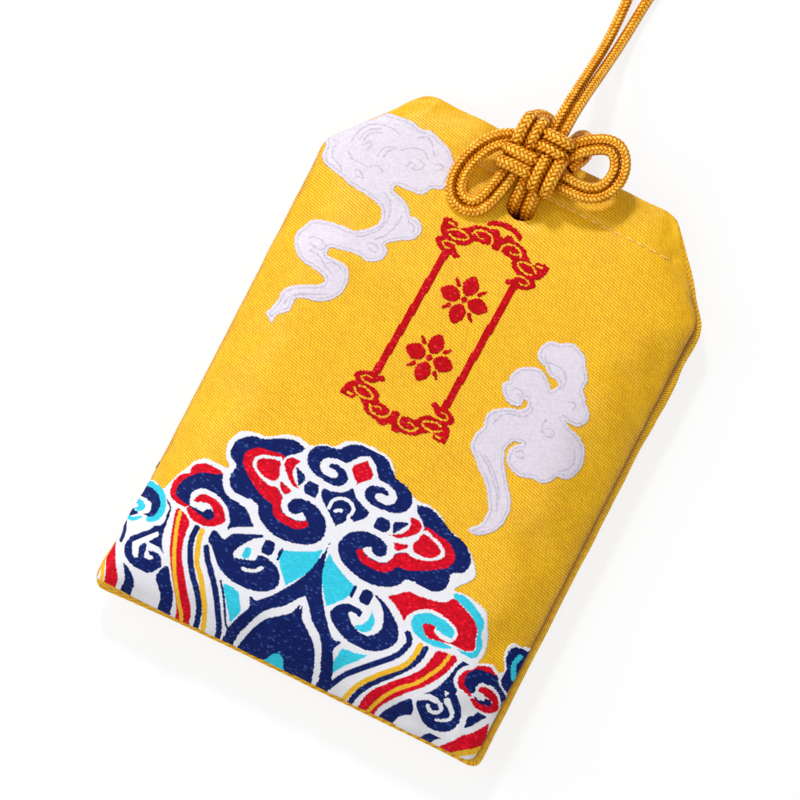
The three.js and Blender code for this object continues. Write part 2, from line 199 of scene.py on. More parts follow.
class NodeBoard:
    """Adds nodes to a tree and joins them, with values set by socket name or place."""

    def __init__(self, tree: NodeTree) -> None:
        """Takes the tree that the nodes go into."""
        self.tree = tree

    def give(self, taken: NodeSocket, value: object) -> None:
        """Joins a socket to an input, or sets the input's own value."""
        if isinstance(value, NodeSocket):
            self.tree.links.new(value, taken)
        else:
            taken.default_value = value

    def add(self, kind: str, values: dict | None = None, **settings: object) -> Node:
        """Adds one node.

        Args:
            kind: the node's type.
            values: input sockets by name or number; a socket as value is joined to it.
            settings: the node's own properties.

        Returns:
            The node.
        """
        node = self.tree.nodes.new(kind)
        for name, value in settings.items():
            setattr(node, name, value)
        for key, value in (values or {}).items():
            self.give(node.inputs[key], value)
        return node

    def out(self, kind: str, values: dict | None = None, **settings: object) -> NodeSocket:
        """The first output of a new node, which takes what add takes."""
        return self.add(kind, values, **settings).outputs[0]

    def math(self, operation: str, *values: object) -> NodeSocket:
        """The result of a Math node on one to three numbers or sockets."""
        return self.out("ShaderNodeMath", dict(enumerate(values)), operation=operation)

    def vector(self, operation: str, *values: object) -> NodeSocket:
        """The result of a Vector Math node; SCALE takes its factor as the second value."""
        keys = (0, "Scale") if operation == "SCALE" else (0, 1, 2)
        return self.out("ShaderNodeVectorMath", dict(zip(keys, values)), operation=operation)

    def attribute(self, name: str, out: str = "Fac") -> NodeSocket:
        """What a piece keeps under a name."""
        return self.add("ShaderNodeAttribute", attribute_name=name).outputs[out]

    def noise(self, place: NodeSocket, scale: float, detail: float) -> NodeSocket:
        """Soft noise over a place."""
        values = {"Vector": place, "Scale": scale, "Detail": detail}
        return self.add("ShaderNodeTexNoise", values).outputs["Fac"]

    def bump(self, height: NodeSocket, strength: float, relief: float) -> NodeSocket:
        """A normal that follows a height, at a relief in millimetres."""
        values = {"Strength": strength, "Distance": relief * MM, "Height": height}
        return self.out("ShaderNodeBump", values)

    def span(self, value: NodeSocket, start: float, end: float) -> NodeSocket:
        """A smooth step from 0 at start to 1 at end."""
        rising = float(start < end)
        values = {0: value, 1: min(start, end), 2: max(start, end), 3: 1.0 - rising, 4: rising}
        return self.out("ShaderNodeMapRange", values, interpolation_type="SMOOTHSTEP")

    def mix(self, factor: object, a: object, b: object, blend: str = "MIX") -> NodeSocket:
        """The colour between a and b."""
        values = {0: factor, 6: a, 7: b}
        return self.add("ShaderNodeMix", values, data_type="RGBA", blend_type=blend).outputs[2]

    def ramp(self, value: NodeSocket, stops: tuple) -> NodeSocket:
        """A colour ramp over (place, colour) stops."""
        node = self.add("ShaderNodeValToRGB", {0: value})
        elements = node.color_ramp.elements
        while len(elements) < len(stops):
            elements.new(0.5)
        for element, (place, colour) in zip(elements, stops):
            element.position, element.color = place, colour
        return node.outputs[0]


def weave_group() -> NodeTree:
    """The shared weave: thread rows across, with short floats stepped as in satin.

    Returns:
        A shader group that takes a place in millimetres, the pitch of rows and floats and the step
        from row to row, and gives the height of the threads, a mask of the gaps between them, a
        slow drift and a grain that differs from float to float.
    """
    tree = bpy.data.node_groups.new("Weave", "ShaderNodeTree")
    sockets = tree.interface
    sockets.new_socket("Place", in_out="INPUT", socket_type="NodeSocketVector")
    for name in ("Row", "Float", "Step"):
        sockets.new_socket(name, in_out="INPUT", socket_type="NodeSocketFloat")
    for name in ("Height", "Gap", "Drift", "Grain"):
        sockets.new_socket(name, in_out="OUTPUT", socket_type="NodeSocketFloat")
    board = NodeBoard(tree)
    taken = board.add("NodeGroupInput").outputs
    apart = board.add("ShaderNodeSeparateXYZ", {0: taken["Place"]}).outputs
    rows = board.math("DIVIDE", apart["Y"], taken["Row"])
    row = board.math("FLOOR", rows)
    along = board.math("DIVIDE", apart["X"], taken["Float"])
    shifted = board.math("MULTIPLY_ADD", row, taken["Step"], along)
    across = board.math("ABSOLUTE", board.math("SUBTRACT", board.math("FRACT", rows), 0.5))
    ends = board.math("ABSOLUTE", board.math("SUBTRACT", board.math("FRACT", shifted), 0.5))
    bow = board.math("SUBTRACT", 1.0, board.math("POWER", board.math("MULTIPLY", across, 2.0), 2.0))
    line = board.span(across, 0.16, 0.48)
    gap = board.math("MULTIPLY", line, board.span(ends, 0.46, 0.26))
    height = board.math("MULTIPLY_ADD", gap, -0.5, bow)
    cell = board.out("ShaderNodeCombineXYZ", {0: row, 1: board.math("FLOOR", shifted)})
    grain = board.add("ShaderNodeTexWhiteNoise", {"Vector": cell}, noise_dimensions="2D").outputs["Value"]
    drift = board.noise(taken["Place"], 0.18, 3.0)
    given = board.add("NodeGroupOutput").inputs
    for name, value in (("Height", height), ("Gap", gap), ("Drift", drift), ("Grain", grain)):
        tree.links.new(value, given[name])
    return tree


@dataclass(frozen=True)
class Finish:
    """What every finish shares: a named material with a Principled shader."""

    name: str

    def board(self) -> tuple[Material, NodeBoard, Node]:
        """A new material, the board of its nodes and its Principled shader."""
        made = bpy.data.materials.new(self.name)
        made.use_nodes = True
        board = NodeBoard(made.node_tree)
        return made, board, made.node_tree.nodes["Principled BSDF"]

    @staticmethod
    def join(board: NodeBoard, shader: Node, **values: object) -> None:
        """Sets the shader's inputs, named with _ for a space, or joins sockets to them."""
        for name, value in values.items():
            board.give(shader.inputs[name.replace("_", " ")], value)


@dataclass(frozen=True)
class SatinCloth(Finish):
    """Glossy satin of one colour, with thread rows across the bag, painted shade in the gaps between the rows and
    painted shade in the seam crevice.
    """

    colour: tuple
    # darker tone: random drift across the cloth, and painted shade in the weave's gaps
    shade: tuple
    crease_shade: tuple
    row: float = 0.34
    float_length: float = 0.62
    step: float = 0.4
    slope: float = 15.0
    roughness: float = 0.42
    gloss: float = 0.6
    gloss_tint: tuple = (1.0, 0.92, 0.62, 1.0)
    sheen: float = 0.12
    sheen_roughness: float = 0.4

    def material(self, weave: NodeTree) -> Material:
        """The satin, read from the piece's flat pattern.

        Args:
            weave: the shared weave group.

        Returns:
            The material.
        """
        made, board, shader = self.board()
        flat = board.out("ShaderNodeUVMap", uv_map="flat")
        values = {"Vector": flat, "Rotation": (0, 0, math.radians(self.slope))}
        turned = board.out("ShaderNodeMapping", values)
        values = {"Place": turned, "Row": self.row, "Float": self.float_length, "Step": self.step}
        cloth = board.add("ShaderNodeGroup", values, node_tree=weave).outputs
        drift = board.math("MULTIPLY_ADD", cloth["Drift"], 0.3, -0.1)
        drift = board.math("MULTIPLY_ADD", cloth["Grain"], 0.25, drift)
        tone = board.mix(drift, self.colour, self.shade)
        # painted shade in the gaps between thread rows
        tone = board.mix(board.math("MULTIPLY", cloth["Gap"], 0.95), tone, self.shade)
        # painted shade in the seam crevice, darkest where the panel's attribute is highest
        crease_shade_share = board.math("MULTIPLY", board.math("POWER", board.attribute("crease_shade_share"), 1.5), 0.85)
        self.join(
            board, shader,
            Base_Color=board.mix(crease_shade_share, tone, self.crease_shade),
            Normal=board.bump(cloth["Height"], 0.35, 0.06),
            Roughness=board.math("MULTIPLY_ADD", cloth["Gap"], 0.2, self.roughness),
            Sheen_Weight=self.sheen, Sheen_Roughness=self.sheen_roughness, Sheen_Tint=self.colour,
            Specular_IOR_Level=self.gloss, Specular_Tint=self.gloss_tint,
        )
        return made


@dataclass(frozen=True)
class FigureThread(Finish):
    """The raised figures: each point takes the colour of its own thread."""

    row: float = 0.2
    float_length: float = 0.36
    step: float = 0.37
    roughness: float = 0.6
    gloss: float = 0.08
    gap_shade: tuple = (0.62, 0.62, 0.66, 1)

    def material(self, weave: NodeTree) -> Material:
        """The figures' threads, coloured by the piece's attribute; dark threads get painted highlights here and there,
        and the gaps between rows painted shade.

        Args:
            weave: the shared weave group.

        Returns:
            The material.
        """
        made, board, shader = self.board()
        thread = board.attribute("thread", "Color")
        flat = board.out("ShaderNodeUVMap", uv_map="flat")
        values = {"Place": flat, "Row": self.row, "Float": self.float_length, "Step": self.step}
        cloth = board.add("ShaderNodeGroup", values, node_tree=weave).outputs
        part = board.add("ShaderNodeSeparateXYZ", {0: thread}).outputs
        dark = board.math("MULTIPLY_ADD", part["Y"], -1.5, board.math("MULTIPLY_ADD", part["X"], -1.1, 1.0))
        # painted highlights: a lighter copy of dark threads on a few floats
        painted_glint = board.math("MULTIPLY", board.span(cloth["Grain"], 0.88, 0.99), board.math("MAXIMUM", dark, 0.0))
        strength = board.math("MULTIPLY_ADD", part["Y"], -0.55, 0.5)
        grain = board.math("MULTIPLY", board.math("SUBTRACT", cloth["Grain"], 0.5), strength)
        even = board.vector("SCALE", thread, board.math("ADD", grain, 1.0))
        painted_highlight = board.vector("MULTIPLY_ADD", thread, (1.9, 1.9, 1.9), (0.05, 0.09, 0.16))
        lit = board.mix(board.math("MULTIPLY", painted_glint, 0.55), even, painted_highlight)
        shade = board.mix(1.0, lit, self.gap_shade, "MULTIPLY")
        self.join(
            board, shader,
            Base_Color=board.mix(board.math("MULTIPLY", cloth["Gap"], 0.35), lit, shade),
            Normal=board.bump(cloth["Height"], 0.4, 0.05),
            Roughness=board.math("MULTIPLY_ADD", cloth["Gap"], 0.15, self.roughness),
            Specular_IOR_Level=self.gloss,
        )
        return made


@dataclass(frozen=True)
class SilkYarn(Finish):
    """Silky yarn of the cord, with fine filaments along each strand, painted shade in the valleys between yarns and
    painted highlights on their tops.
    """

    colour: tuple
    # painted shade for the valleys between yarns
    deep: tuple
    painted_highlight: tuple
    roughness: float = 0.3
    gloss_tint: tuple = (1.0, 0.72, 0.25, 1.0)

    def material(self) -> Material:
        """The yarn, with painted shade towards the cord's inside and where other strands crowd it, painted highlights
        on the yarns' tops, and varied along it.
        """
        made, board, shader = self.board()
        place = board.add("ShaderNodeTexCoord").outputs["Object"]
        # painted shade where other strands close round the cord, and on the neck from the hole and the knot's shadow
        crest, occlusion_shade = board.attribute("crest"), board.attribute("occlusion_shade")
        fibre = board.noise(place, 9000.0, 2.0)
        lift = board.math("MULTIPLY_ADD", board.noise(place, 900.0, 2.0), 0.3, -0.15)
        # low points take painted shade and the yarns' tops painted highlights, by how far out each point lies
        tone = board.math("MULTIPLY_ADD", occlusion_shade, -0.3, board.math("ADD", crest, lift))
        self.join(
            board, shader,
            Base_Color=board.ramp(tone, ((0.36, self.deep), (0.74, self.colour), (0.97, self.painted_highlight))),
            Normal=board.bump(fibre, 0.3, 0.04),
            Roughness=board.math("MULTIPLY_ADD", fibre, 0.2, self.roughness - 0.1),
            Specular_IOR_Level=board.math("MULTIPLY", board.math("MULTIPLY_ADD", occlusion_shade, -0.6, crest), 0.8),
            Specular_Tint=self.gloss_tint,
        )
        return made


@dataclass(frozen=True)
class FibreStuff(Finish):
    """Paper, board, wadding or thread: a colour with fibres at one scale."""

    colour: tuple
    shade: tuple
    scale: float
    roughness: float = 0.8
    relief: float = 0.3

    def material(self) -> Material:
        """The fibrous finish, on the piece's own coordinates."""
        made, board, shader = self.board()
        fibre = board.noise(board.add("ShaderNodeTexCoord").outputs["Object"], self.scale, 6.0)
        self.join(
            board, shader,
            Base_Color=board.ramp(fibre, ((0.3, self.shade), (0.65, self.colour))),
            Normal=board.bump(fibre, self.relief, 0.1),
            Roughness=board.math("MULTIPLY_ADD", fibre, 0.2, self.roughness - 0.1),
        )
        return made


@dataclass
class Outline:
    """The bag's outline with its two cut corners, in millimetres."""

    width: float = 56.0
    height: float = 76.0
    cut_across: float = 9.5
    cut_down: float = 11.0
    reach: float = 1.6
    spacing: float = 2.0

    def corners(self, inset: float) -> list[Points]:
        """The right half's corners, moved in by the inset, from bottom middle to mouth middle."""
        side, top = self.width / 2 - inset, self.height / 2 - inset
        outward = np.array([self.cut_down, self.cut_across])
        outward = outward / np.linalg.norm(outward)
        shoulder = np.array([self.width / 2, self.height / 2 - self.cut_down])
        distance = outward @ shoulder - inset
        bottom = -self.height / 2 + inset
        return [
            np.array([0.0, bottom]),
            np.array([side, bottom]),
            np.array([side, (distance - outward[0] * side) / outward[1]]),
            np.array([(distance - outward[1] * top) / outward[0], top]),
            np.array([0.0, top]),
        ]

    def ring(self, inset: float) -> Points:
        """Points round the outline at an inset, the same count at every inset."""
        corners = self.corners(inset)
        plain = self.corners(0.0)
        half = [corners[0][None]]
        for k in range(1, 4):
            before, corner, after = corners[k - 1 : k + 2]
            start = corner + self.reach * (before - corner) / np.linalg.norm(before - corner)
            end = corner + self.reach * (after - corner) / np.linalg.norm(after - corner)
            count = max(2, round(np.linalg.norm(plain[k] - plain[k - 1]) / self.spacing))
            share = (np.arange(1, count + 1) / count)[:, None]
            half.append(half[-1][-1] + (start - half[-1][-1]) * share)
            t = np.array([[0.25], [0.5], [0.75], [1.0]])
            half.append((1 - t) ** 2 * start + 2 * t * (1 - t) * corner + t**2 * end)
        count = max(2, round(np.linalg.norm(plain[4] - plain[3]) / self.spacing))
        share = (np.arange(1, count + 1) / count)[:, None]
        half.append(half[-1][-1] + (corners[4] - half[-1][-1]) * share)
        right = np.vstack(half)
        left = right[1:-1][::-1] * np.array([-1.0, 1.0])
        return np.vstack([right, left])


@dataclass
class Panel:
    """One half of the bag: satin puffed out over its wadding and drawn in along the seam."""

    name: str
    up: float
    depth: float
    dome: float
    right: float
    bottom: float
    hole: tuple[float, float, float]
    # heights from the seam that set the painted shade of the seam crevice: none beyond the first, rising over the
    # second towards the seam
    crease_shade: tuple[float, float] = (1.5, 1.3)
    outline: Outline = field(default_factory=Outline)
    seam: float = SEAM_HEIGHT
    mouth_depth: float = 1.3
    mouth_rise: float = 0.75
    mouth_from: float = 20.0
    side_from: float = 14.0
    bottom_from: float = 22.0
    bottom_tilt: float = 0.013
    left_pull: float = 0.25
    corner_pull: tuple[float, float] = (0.6, 0.45)
    corner_reach: float = 10.0
    bend: float = 14.0
    edge_run: float = 12.0
    edge_bulge: float = 0.25
    turned_in: Spots = ((2.8, -0.02, -1.85), (0.5, 0.015, -0.25), (-0.15, 0.08, 0.0))
    ridge_end: float = 22.0
    dome_run: float = 30.0
    hem: float = HEM_LINE
    hem_half: float = 21.0
    hem_width: float = 0.45
    hem_dent: float = 0.22
    hole_dent: float = 0.25
    ground: float = 0.03

    def trim(self, points: Points) -> Points:
        """Draws the half's edges in or out: right side, bottom, mouth and the left bottom corner."""
        side, top = self.outline.width / 2, self.outline.height / 2
        x, y = points[:, 0].copy(), points[:, 1].copy()
        points[:, 0] += self.right * share_between(x, self.side_from, side)
        points[:, 1] -= (self.bottom - self.bottom_tilt * x) * share_between(-y, self.bottom_from, top)
        points[:, 1] += self.mouth_rise * share_between(y, self.mouth_from, top)
        corner = np.exp(-((x + side) ** 2 + (y + top) ** 2) / self.corner_reach**2)
        points[:, 0] -= self.corner_pull[0] * corner - self.left_pull * share_between(-x, 0, side)
        points[:, 1] -= self.corner_pull[1] * corner
        return points

    def local_depth(self, y: Points) -> Points:
        """Depth of the half at a distance along the bag."""
        flat = share_between(y, self.bend, self.outline.height / 2)
        return self.depth + (self.mouth_depth - self.depth) * flat

    def profile(self) -> list[tuple[float, float, float]]:
        """Inset, rise as a share of the depth, and flat inset of each ring from the rim inwards."""
        turns = np.radians(np.linspace(12, 90, 12))
        insets = self.edge_run * (1 - np.cos(turns))
        rises = np.sin(turns)
        steps = np.hypot(np.diff(insets), np.diff(rises) * self.depth)
        flat = self.edge_run - np.concatenate([np.cumsum(steps[::-1])[::-1], [0.0]])
        insets = insets - self.edge_bulge * np.cos(turns)
        rim = [(inset, rise, flat[0] + more) for inset, rise, more in self.turned_in]
        return rim + list(zip(insets, rises, flat))

    def grid(self) -> tuple[Points, Points, list]:
        """Points, flat pattern places and faces of the half before it is puffed."""
        rings, flats = [], []
        for inset, rise, flat in self.profile():
            plan = self.outline.ring(inset)
            z = self.local_depth(plan[:, 1]) * rise
            rings.append(np.column_stack([plan, z]))
            flats.append(self.outline.ring(flat))
        crown, crown_flat = rings[-1], flats[-1]
        ridge = crown.copy()
        ridge[:, 0] = 0
        half = self.outline.height / 2
        ridge[:, 1] = np.clip(crown[:, 1], self.ridge_end - half, half - self.ridge_end)
        lift = self.dome * share_between(half - ridge[:, 1], 0, self.dome_run)
        ridge[:, 2] = self.local_depth(ridge[:, 1]) + lift
        for share in (0.2, 0.4, 0.6, 0.8, 1.0):
            layer = crown + (ridge - crown) * share
            swell = 1 - (1 - share) ** 2
            layer[:, 2] = crown[:, 2] + (ridge[:, 2] - crown[:, 2]) * share
            layer[:, 2] += lift * (swell - share) * 0.6
            rings.append(layer)
            flats.append(crown_flat + (ridge[:, :2] - crown_flat) * share)
        return np.vstack(rings), np.vstack(flats), ring_faces(len(rings), len(crown), self.up < 0)

    def puff(self, made: Object, pinned: int) -> None:
        """Swells the half as cloth under pressure, held along its rim, and keeps small moves.

        Args:
            made: the panel, at its rest shape.
            pinned: how many of its first points the seam holds.
        """
        grow, most, frames = 10.0, 0.55, 22
        rest = mesh_points(made.data)
        trial = add_object("trial", made.data.copy())
        set_points(trial.data, rest * grow)
        pins = trial.vertex_groups.new(name="seam")
        pins.add(list(range(pinned)), 1.0, "REPLACE")
        cloth = trial.modifiers.new("cloth", "CLOTH")
        settings = cloth.settings
        settings.vertex_group_mass = "seam"
        settings.quality = 6
        settings.mass = 0.2
        settings.tension_stiffness = settings.compression_stiffness = 20
        settings.shear_stiffness = 8
        settings.bending_stiffness = 0.6
        settings.shrink_min = -0.035
        settings.use_pressure = True
        settings.uniform_pressure_force = 3.0 * self.up
        settings.effector_weights.gravity = 0
        cloth.collision_settings.use_collision = False
        cloth.point_cache.frame_end = frames
        for number in range(1, frames + 1):
            bpy.context.scene.frame_set(number)
        graph = bpy.context.evaluated_depsgraph_get()
        swollen = mesh_points(trial.evaluated_get(graph).to_mesh()) / grow
        bpy.data.objects.remove(trial)
        bpy.context.scene.frame_set(1)
        move = swollen - rest
        size = np.linalg.norm(move, axis=1, keepdims=True)
        move *= most * np.tanh(size / most) / np.maximum(size, 1e-9)
        kept = np.linalg.norm(move, axis=1).max()
        LOG.info("%s: cloth moved up to %.2f mm, kept %.2f", self.name, size.max(), kept)
        set_points(made.data, rest + move)

    def build(self) -> Object:
        """The finished half as one mesh, with its flat pattern as UV map and its cord hole."""
        points, flats, faces = self.grid()
        points = self.trim(points)
        points[:, 2] = self.seam + self.up * (points[:, 2] + 0.12)
        made = add_mesh(self.name, points, faces)
        write_pattern(made.data, flats)
        weld = made.modifiers.new("weld", "WELD")
        weld.merge_threshold = 1e-6
        bake_modifiers(made)
        self.puff(made, 3 * len(self.outline.ring(0.0)))
        smooth = made.modifiers.new("smooth", "SUBSURF")
        smooth.levels = smooth.render_levels = 2
        bake_modifiers(made)
        self.finish_surface(made)
        made.data.shade_smooth()
        return made

    def finish_surface(self, made: Object) -> None:
        """Draws in the hem's stitch line, opens the cord hole and keeps how much painted shade each point near the
        seam takes in its crevice.

        Args:
            made: the panel as a fine mesh.
        """
        mesh = made.data
        points = mesh_points(mesh)
        row = np.exp(-(((points[:, 1] - self.hem) / self.hem_width) ** 2)) * (np.abs(points[:, 0]) < self.hem_half)
        points[:, 2] -= self.up * self.hem_dent * row
        y, wide, tall = self.hole
        centre, size = np.array([0.0, y]), np.array([wide, tall])
        offset = (points[:, :2] - centre) / size
        reach = np.linalg.norm(offset, axis=1)
        outside = self.up * (points[:, 2] - self.seam) > 0.5
        dent = np.exp(-(np.maximum(reach - 1, 0) ** 2) / 0.5) * outside
        points[:, 2] = np.maximum(points[:, 2] - self.up * self.hole_dent * dent, self.ground)
        gone = set(np.flatnonzero((reach < 0.98) & outside).tolist())
        kept = [tuple(p.vertices) for p in mesh.polygons if not gone.intersection(p.vertices)]
        for v in {v for p in mesh.polygons if gone.intersection(p.vertices) for v in p.vertices} - gone:
            points[v, :2] = centre + offset[v] / reach[v] * size
        uv = np.zeros(len(mesh.loops) * 2, np.float32)
        mesh.uv_layers["flat"].data.foreach_get("uv", uv)
        place = np.zeros((len(points), 2), np.float32)
        place[corner_points(mesh)] = uv.reshape(-1, 2)
        fresh = bpy.data.meshes.new(self.name)
        fresh.from_pydata((points * MM).tolist(), [], kept)
        write_pattern(fresh, place)
        # painted shade in the seam crevice, left out near the mouth
        start, run = self.crease_shade
        crease_shade_share = np.clip((start - np.abs(points[:, 2] - self.seam)) / run, 0, 1)
        write_shares(fresh, "crease_shade_share", crease_shade_share * np.clip((33 - points[:, 1]) / 3, 0, 1))
        made.data = fresh
        bpy.data.meshes.remove(mesh)


def set_inputs(modifier: Modifier, values: dict[str, object]) -> None:
    """Sets a Geometry Nodes modifier's named inputs by their sockets' identifiers."""
    for item in modifier.node_group.interface.items_tree:
        if item.item_type == "SOCKET" and item.in_out == "INPUT" and item.name in values:
            modifier[item.identifier] = values[item.name]


def new_tree(name: str, numbers: tuple[str, ...]) -> tuple[NodeTree, NodeBoard, Node]:
    """A Geometry Nodes tree that turns a path of edges into a piece.

    Args:
        name: the tree's name.
        numbers: names of its inputs for sizes.

    Returns:
        The tree, the board of its nodes, and its input node.
    """
    tree = bpy.data.node_groups.new(name, "GeometryNodeTree")
    tree.interface.new_socket("Path", in_out="INPUT", socket_type="NodeSocketGeometry")
    for number in numbers:
        tree.interface.new_socket(number, in_out="INPUT", socket_type="NodeSocketFloat")
    tree.interface.new_socket("Finish", in_out="INPUT", socket_type="NodeSocketMaterial")
    tree.interface.new_socket("Piece", in_out="OUTPUT", socket_type="NodeSocketGeometry")
    board = NodeBoard(tree)
    return tree, board, board.add("NodeGroupInput")


def end_tree(board: NodeBoard, shape: NodeSocket, finish: NodeSocket) -> None:
    """Ends a tree in smooth faces, real instances and one material."""
    shape = board.out("GeometryNodeRealizeInstances", {0: shape})
    shape = board.out("GeometryNodeSetShadeSmooth", {0: shape})
    shape = board.out("GeometryNodeSetMaterial", {0: shape, "Material": finish})
    board.add("NodeGroupOutput", {0: shape})


def path_piece(name: str, routes: list[Points], tree: NodeTree, values: dict) -> Object:
    """Runs a tree along routes and keeps its result as a plain mesh.

    Args:
        name: the piece's name.
        routes: rows of points in millimetres, one array for each run.
        tree: the tree, which takes the runs as edges.
        values: the tree's inputs by name.

    Returns:
        The piece.
    """
    edges, count = [], 0
    for route in routes:
        edges += [(count + i, count + i + 1) for i in range(len(route) - 1)]
        count += len(route)
    mesh = bpy.data.meshes.new(name)
    mesh.from_pydata((np.vstack(routes) * MM).tolist(), edges, [])
    made = add_object(name, mesh)
    modifier = made.modifiers.new("nodes", "NODES")
    modifier.node_group = tree
    set_inputs(modifier, values)
    return bake_modifiers(made)


@dataclass
class Braid:
    """The cord's plait: yarns that cross each other round a core, half of them each way."""

    finish: Material
    diameter: float = 1.5
    yarns: int = 6
    pitch: float = 3.2
    swell: float = 0.085
    width: float = 0.47
    thickness: float = 0.26
    tree: NodeTree | None = None

    def build_tree(self) -> NodeTree:
        """The tree that plaits yarns along a path."""
        names = ("Yarns", "Pitch", "Radius", "Swell", "Width", "Thickness", "Step")
        tree, board, source = new_tree("Plait", names)
        taken = source.outputs
        path = board.out("GeometryNodeMeshToCurve", {0: taken["Path"]})
        path = board.out("GeometryNodeResampleCurve", {0: path, "Length": taken["Step"]}, mode="LENGTH")
        path = board.out("GeometryNodeSetCurveNormal", {0: path}, mode="MINIMUM_TWIST")
        amount = board.math("MULTIPLY", taken["Yarns"], 2.0)
        copies = board.add("GeometryNodeDuplicateElements", {0: path, "Amount": amount}, domain="SPLINE").outputs
        number = copies["Duplicate Index"]
        way = board.math("MULTIPLY_ADD", board.math("MODULO", number, 2.0), -2.0, 1.0)
        share = board.math("DIVIDE", board.math("FLOOR", board.math("DIVIDE", number, 2.0)), taken["Yarns"])
        length = board.add("GeometryNodeSplineParameter").outputs["Length"]
        turn = board.math("MULTIPLY", board.math("DIVIDE", length, taken["Pitch"]), math.tau)
        angle = board.math("MULTIPLY_ADD", turn, way, board.math("MULTIPLY", share, math.tau))
        crossing = board.math("MULTIPLY", board.math("DIVIDE", turn, math.pi), taken["Yarns"])
        twice = board.math("MULTIPLY_ADD", board.math("FLOOR", board.math("DIVIDE", number, 2.0)), 2.0, -0.5)
        phase = board.math("MULTIPLY", board.math("MULTIPLY_ADD", crossing, way, twice), math.pi / 2)
        crest = board.math("MULTIPLY", way, board.math("COSINE", phase))
        tangent = board.out("GeometryNodeInputTangent")
        normal = board.out("GeometryNodeInputNormal")
        side = board.vector("CROSS_PRODUCT", tangent, normal)
        out = board.vector("SCALE", normal, board.math("COSINE", angle))
        out = board.vector("ADD", out, board.vector("SCALE", side, board.math("SINE", angle)))
        kept = copies["Geometry"]
        values = {0: kept, "Name": "radial", "Value": out}
        kept = board.out("GeometryNodeStoreNamedAttribute", values, data_type="FLOAT_VECTOR")
        radial = board.out("GeometryNodeInputNamedAttribute", {"Name": "radial"}, data_type="FLOAT_VECTOR")
        reach = board.math("MULTIPLY_ADD", crest, taken["Swell"], taken["Radius"])
        offset = board.vector("SCALE", radial, reach)
        kept = board.out("GeometryNodeSetPosition", {0: kept, "Offset": offset})
        kept = board.out("GeometryNodeSetCurveNormal", {0: kept, "Normal": radial}, mode="FREE")
        ring = board.out("GeometryNodeCurvePrimitiveCircle", {"Resolution": 6, "Radius": 0.5})
        size = board.out("ShaderNodeCombineXYZ", {0: taken["Thickness"], 1: taken["Width"], 2: 1.0})
        ring = board.out("GeometryNodeTransform", {0: ring, "Scale": size})
        cap = {"Fill Caps": True}
        yarns = board.out("GeometryNodeCurveToMesh", {0: kept, 1: ring, **cap})
        values = {"Resolution": 8, "Radius": taken["Radius"]}
        ring = board.out("GeometryNodeCurvePrimitiveCircle", values)
        core = board.out("GeometryNodeCurveToMesh", {0: path, 1: ring, **cap})
        joined = board.add("GeometryNodeJoinGeometry", {0: yarns})
        board.give(joined.inputs[0], core)
        end_tree(board, joined.outputs[0], taken["Finish"])
        return tree

    def along(self, name: str, routes: list[Points]) -> Object:
        """A piece of cord along each route.

        Args:
            name: the piece's name.
            routes: the middle lines in millimetres, as smooth fine points.

        Returns:
            The piece.
        """
        self.tree = self.tree or self.build_tree()
        radius = self.diameter / 2 - self.swell - self.thickness / 2
        values = {
            "Yarns": float(self.yarns),
            "Pitch": self.pitch * MM,
            "Radius": radius * MM,
            "Swell": self.swell * MM,
            "Width": self.width * MM,
            "Thickness": self.thickness * MM,
            "Step": self.pitch / self.yarns / 3 * MM,
            "Finish": self.finish,
        }
        made = path_piece(name, routes, self.tree, values)
        made.data.attributes.remove(made.data.attributes["radial"])
        self.mark_crests(made, np.vstack(routes))
        return made

    def mark_crests(self, made: Object, line: Points) -> None:
        """Keeps how far out each point lies, as a share from the core's skin to the yarns' tops.

        Args:
            made: the piece of cord.
            line: fine points of its middle line.
        """
        steps = np.arange(0, len(line) - 1, 0.2)
        line = np.column_stack([np.interp(steps, np.arange(len(line)), line[:, k]) for k in range(3)])
        finder = point_finder(line)
        reach = np.array([finder.find(point)[2] for point in mesh_points(made.data)])
        low, high = self.diameter / 2 - 2 * self.swell - self.thickness / 2, self.diameter / 2
        # the yarn's material paints shade on low points and highlights on high ones from this share
        write_shares(made.data, "crest", share_between(reach, low, high))


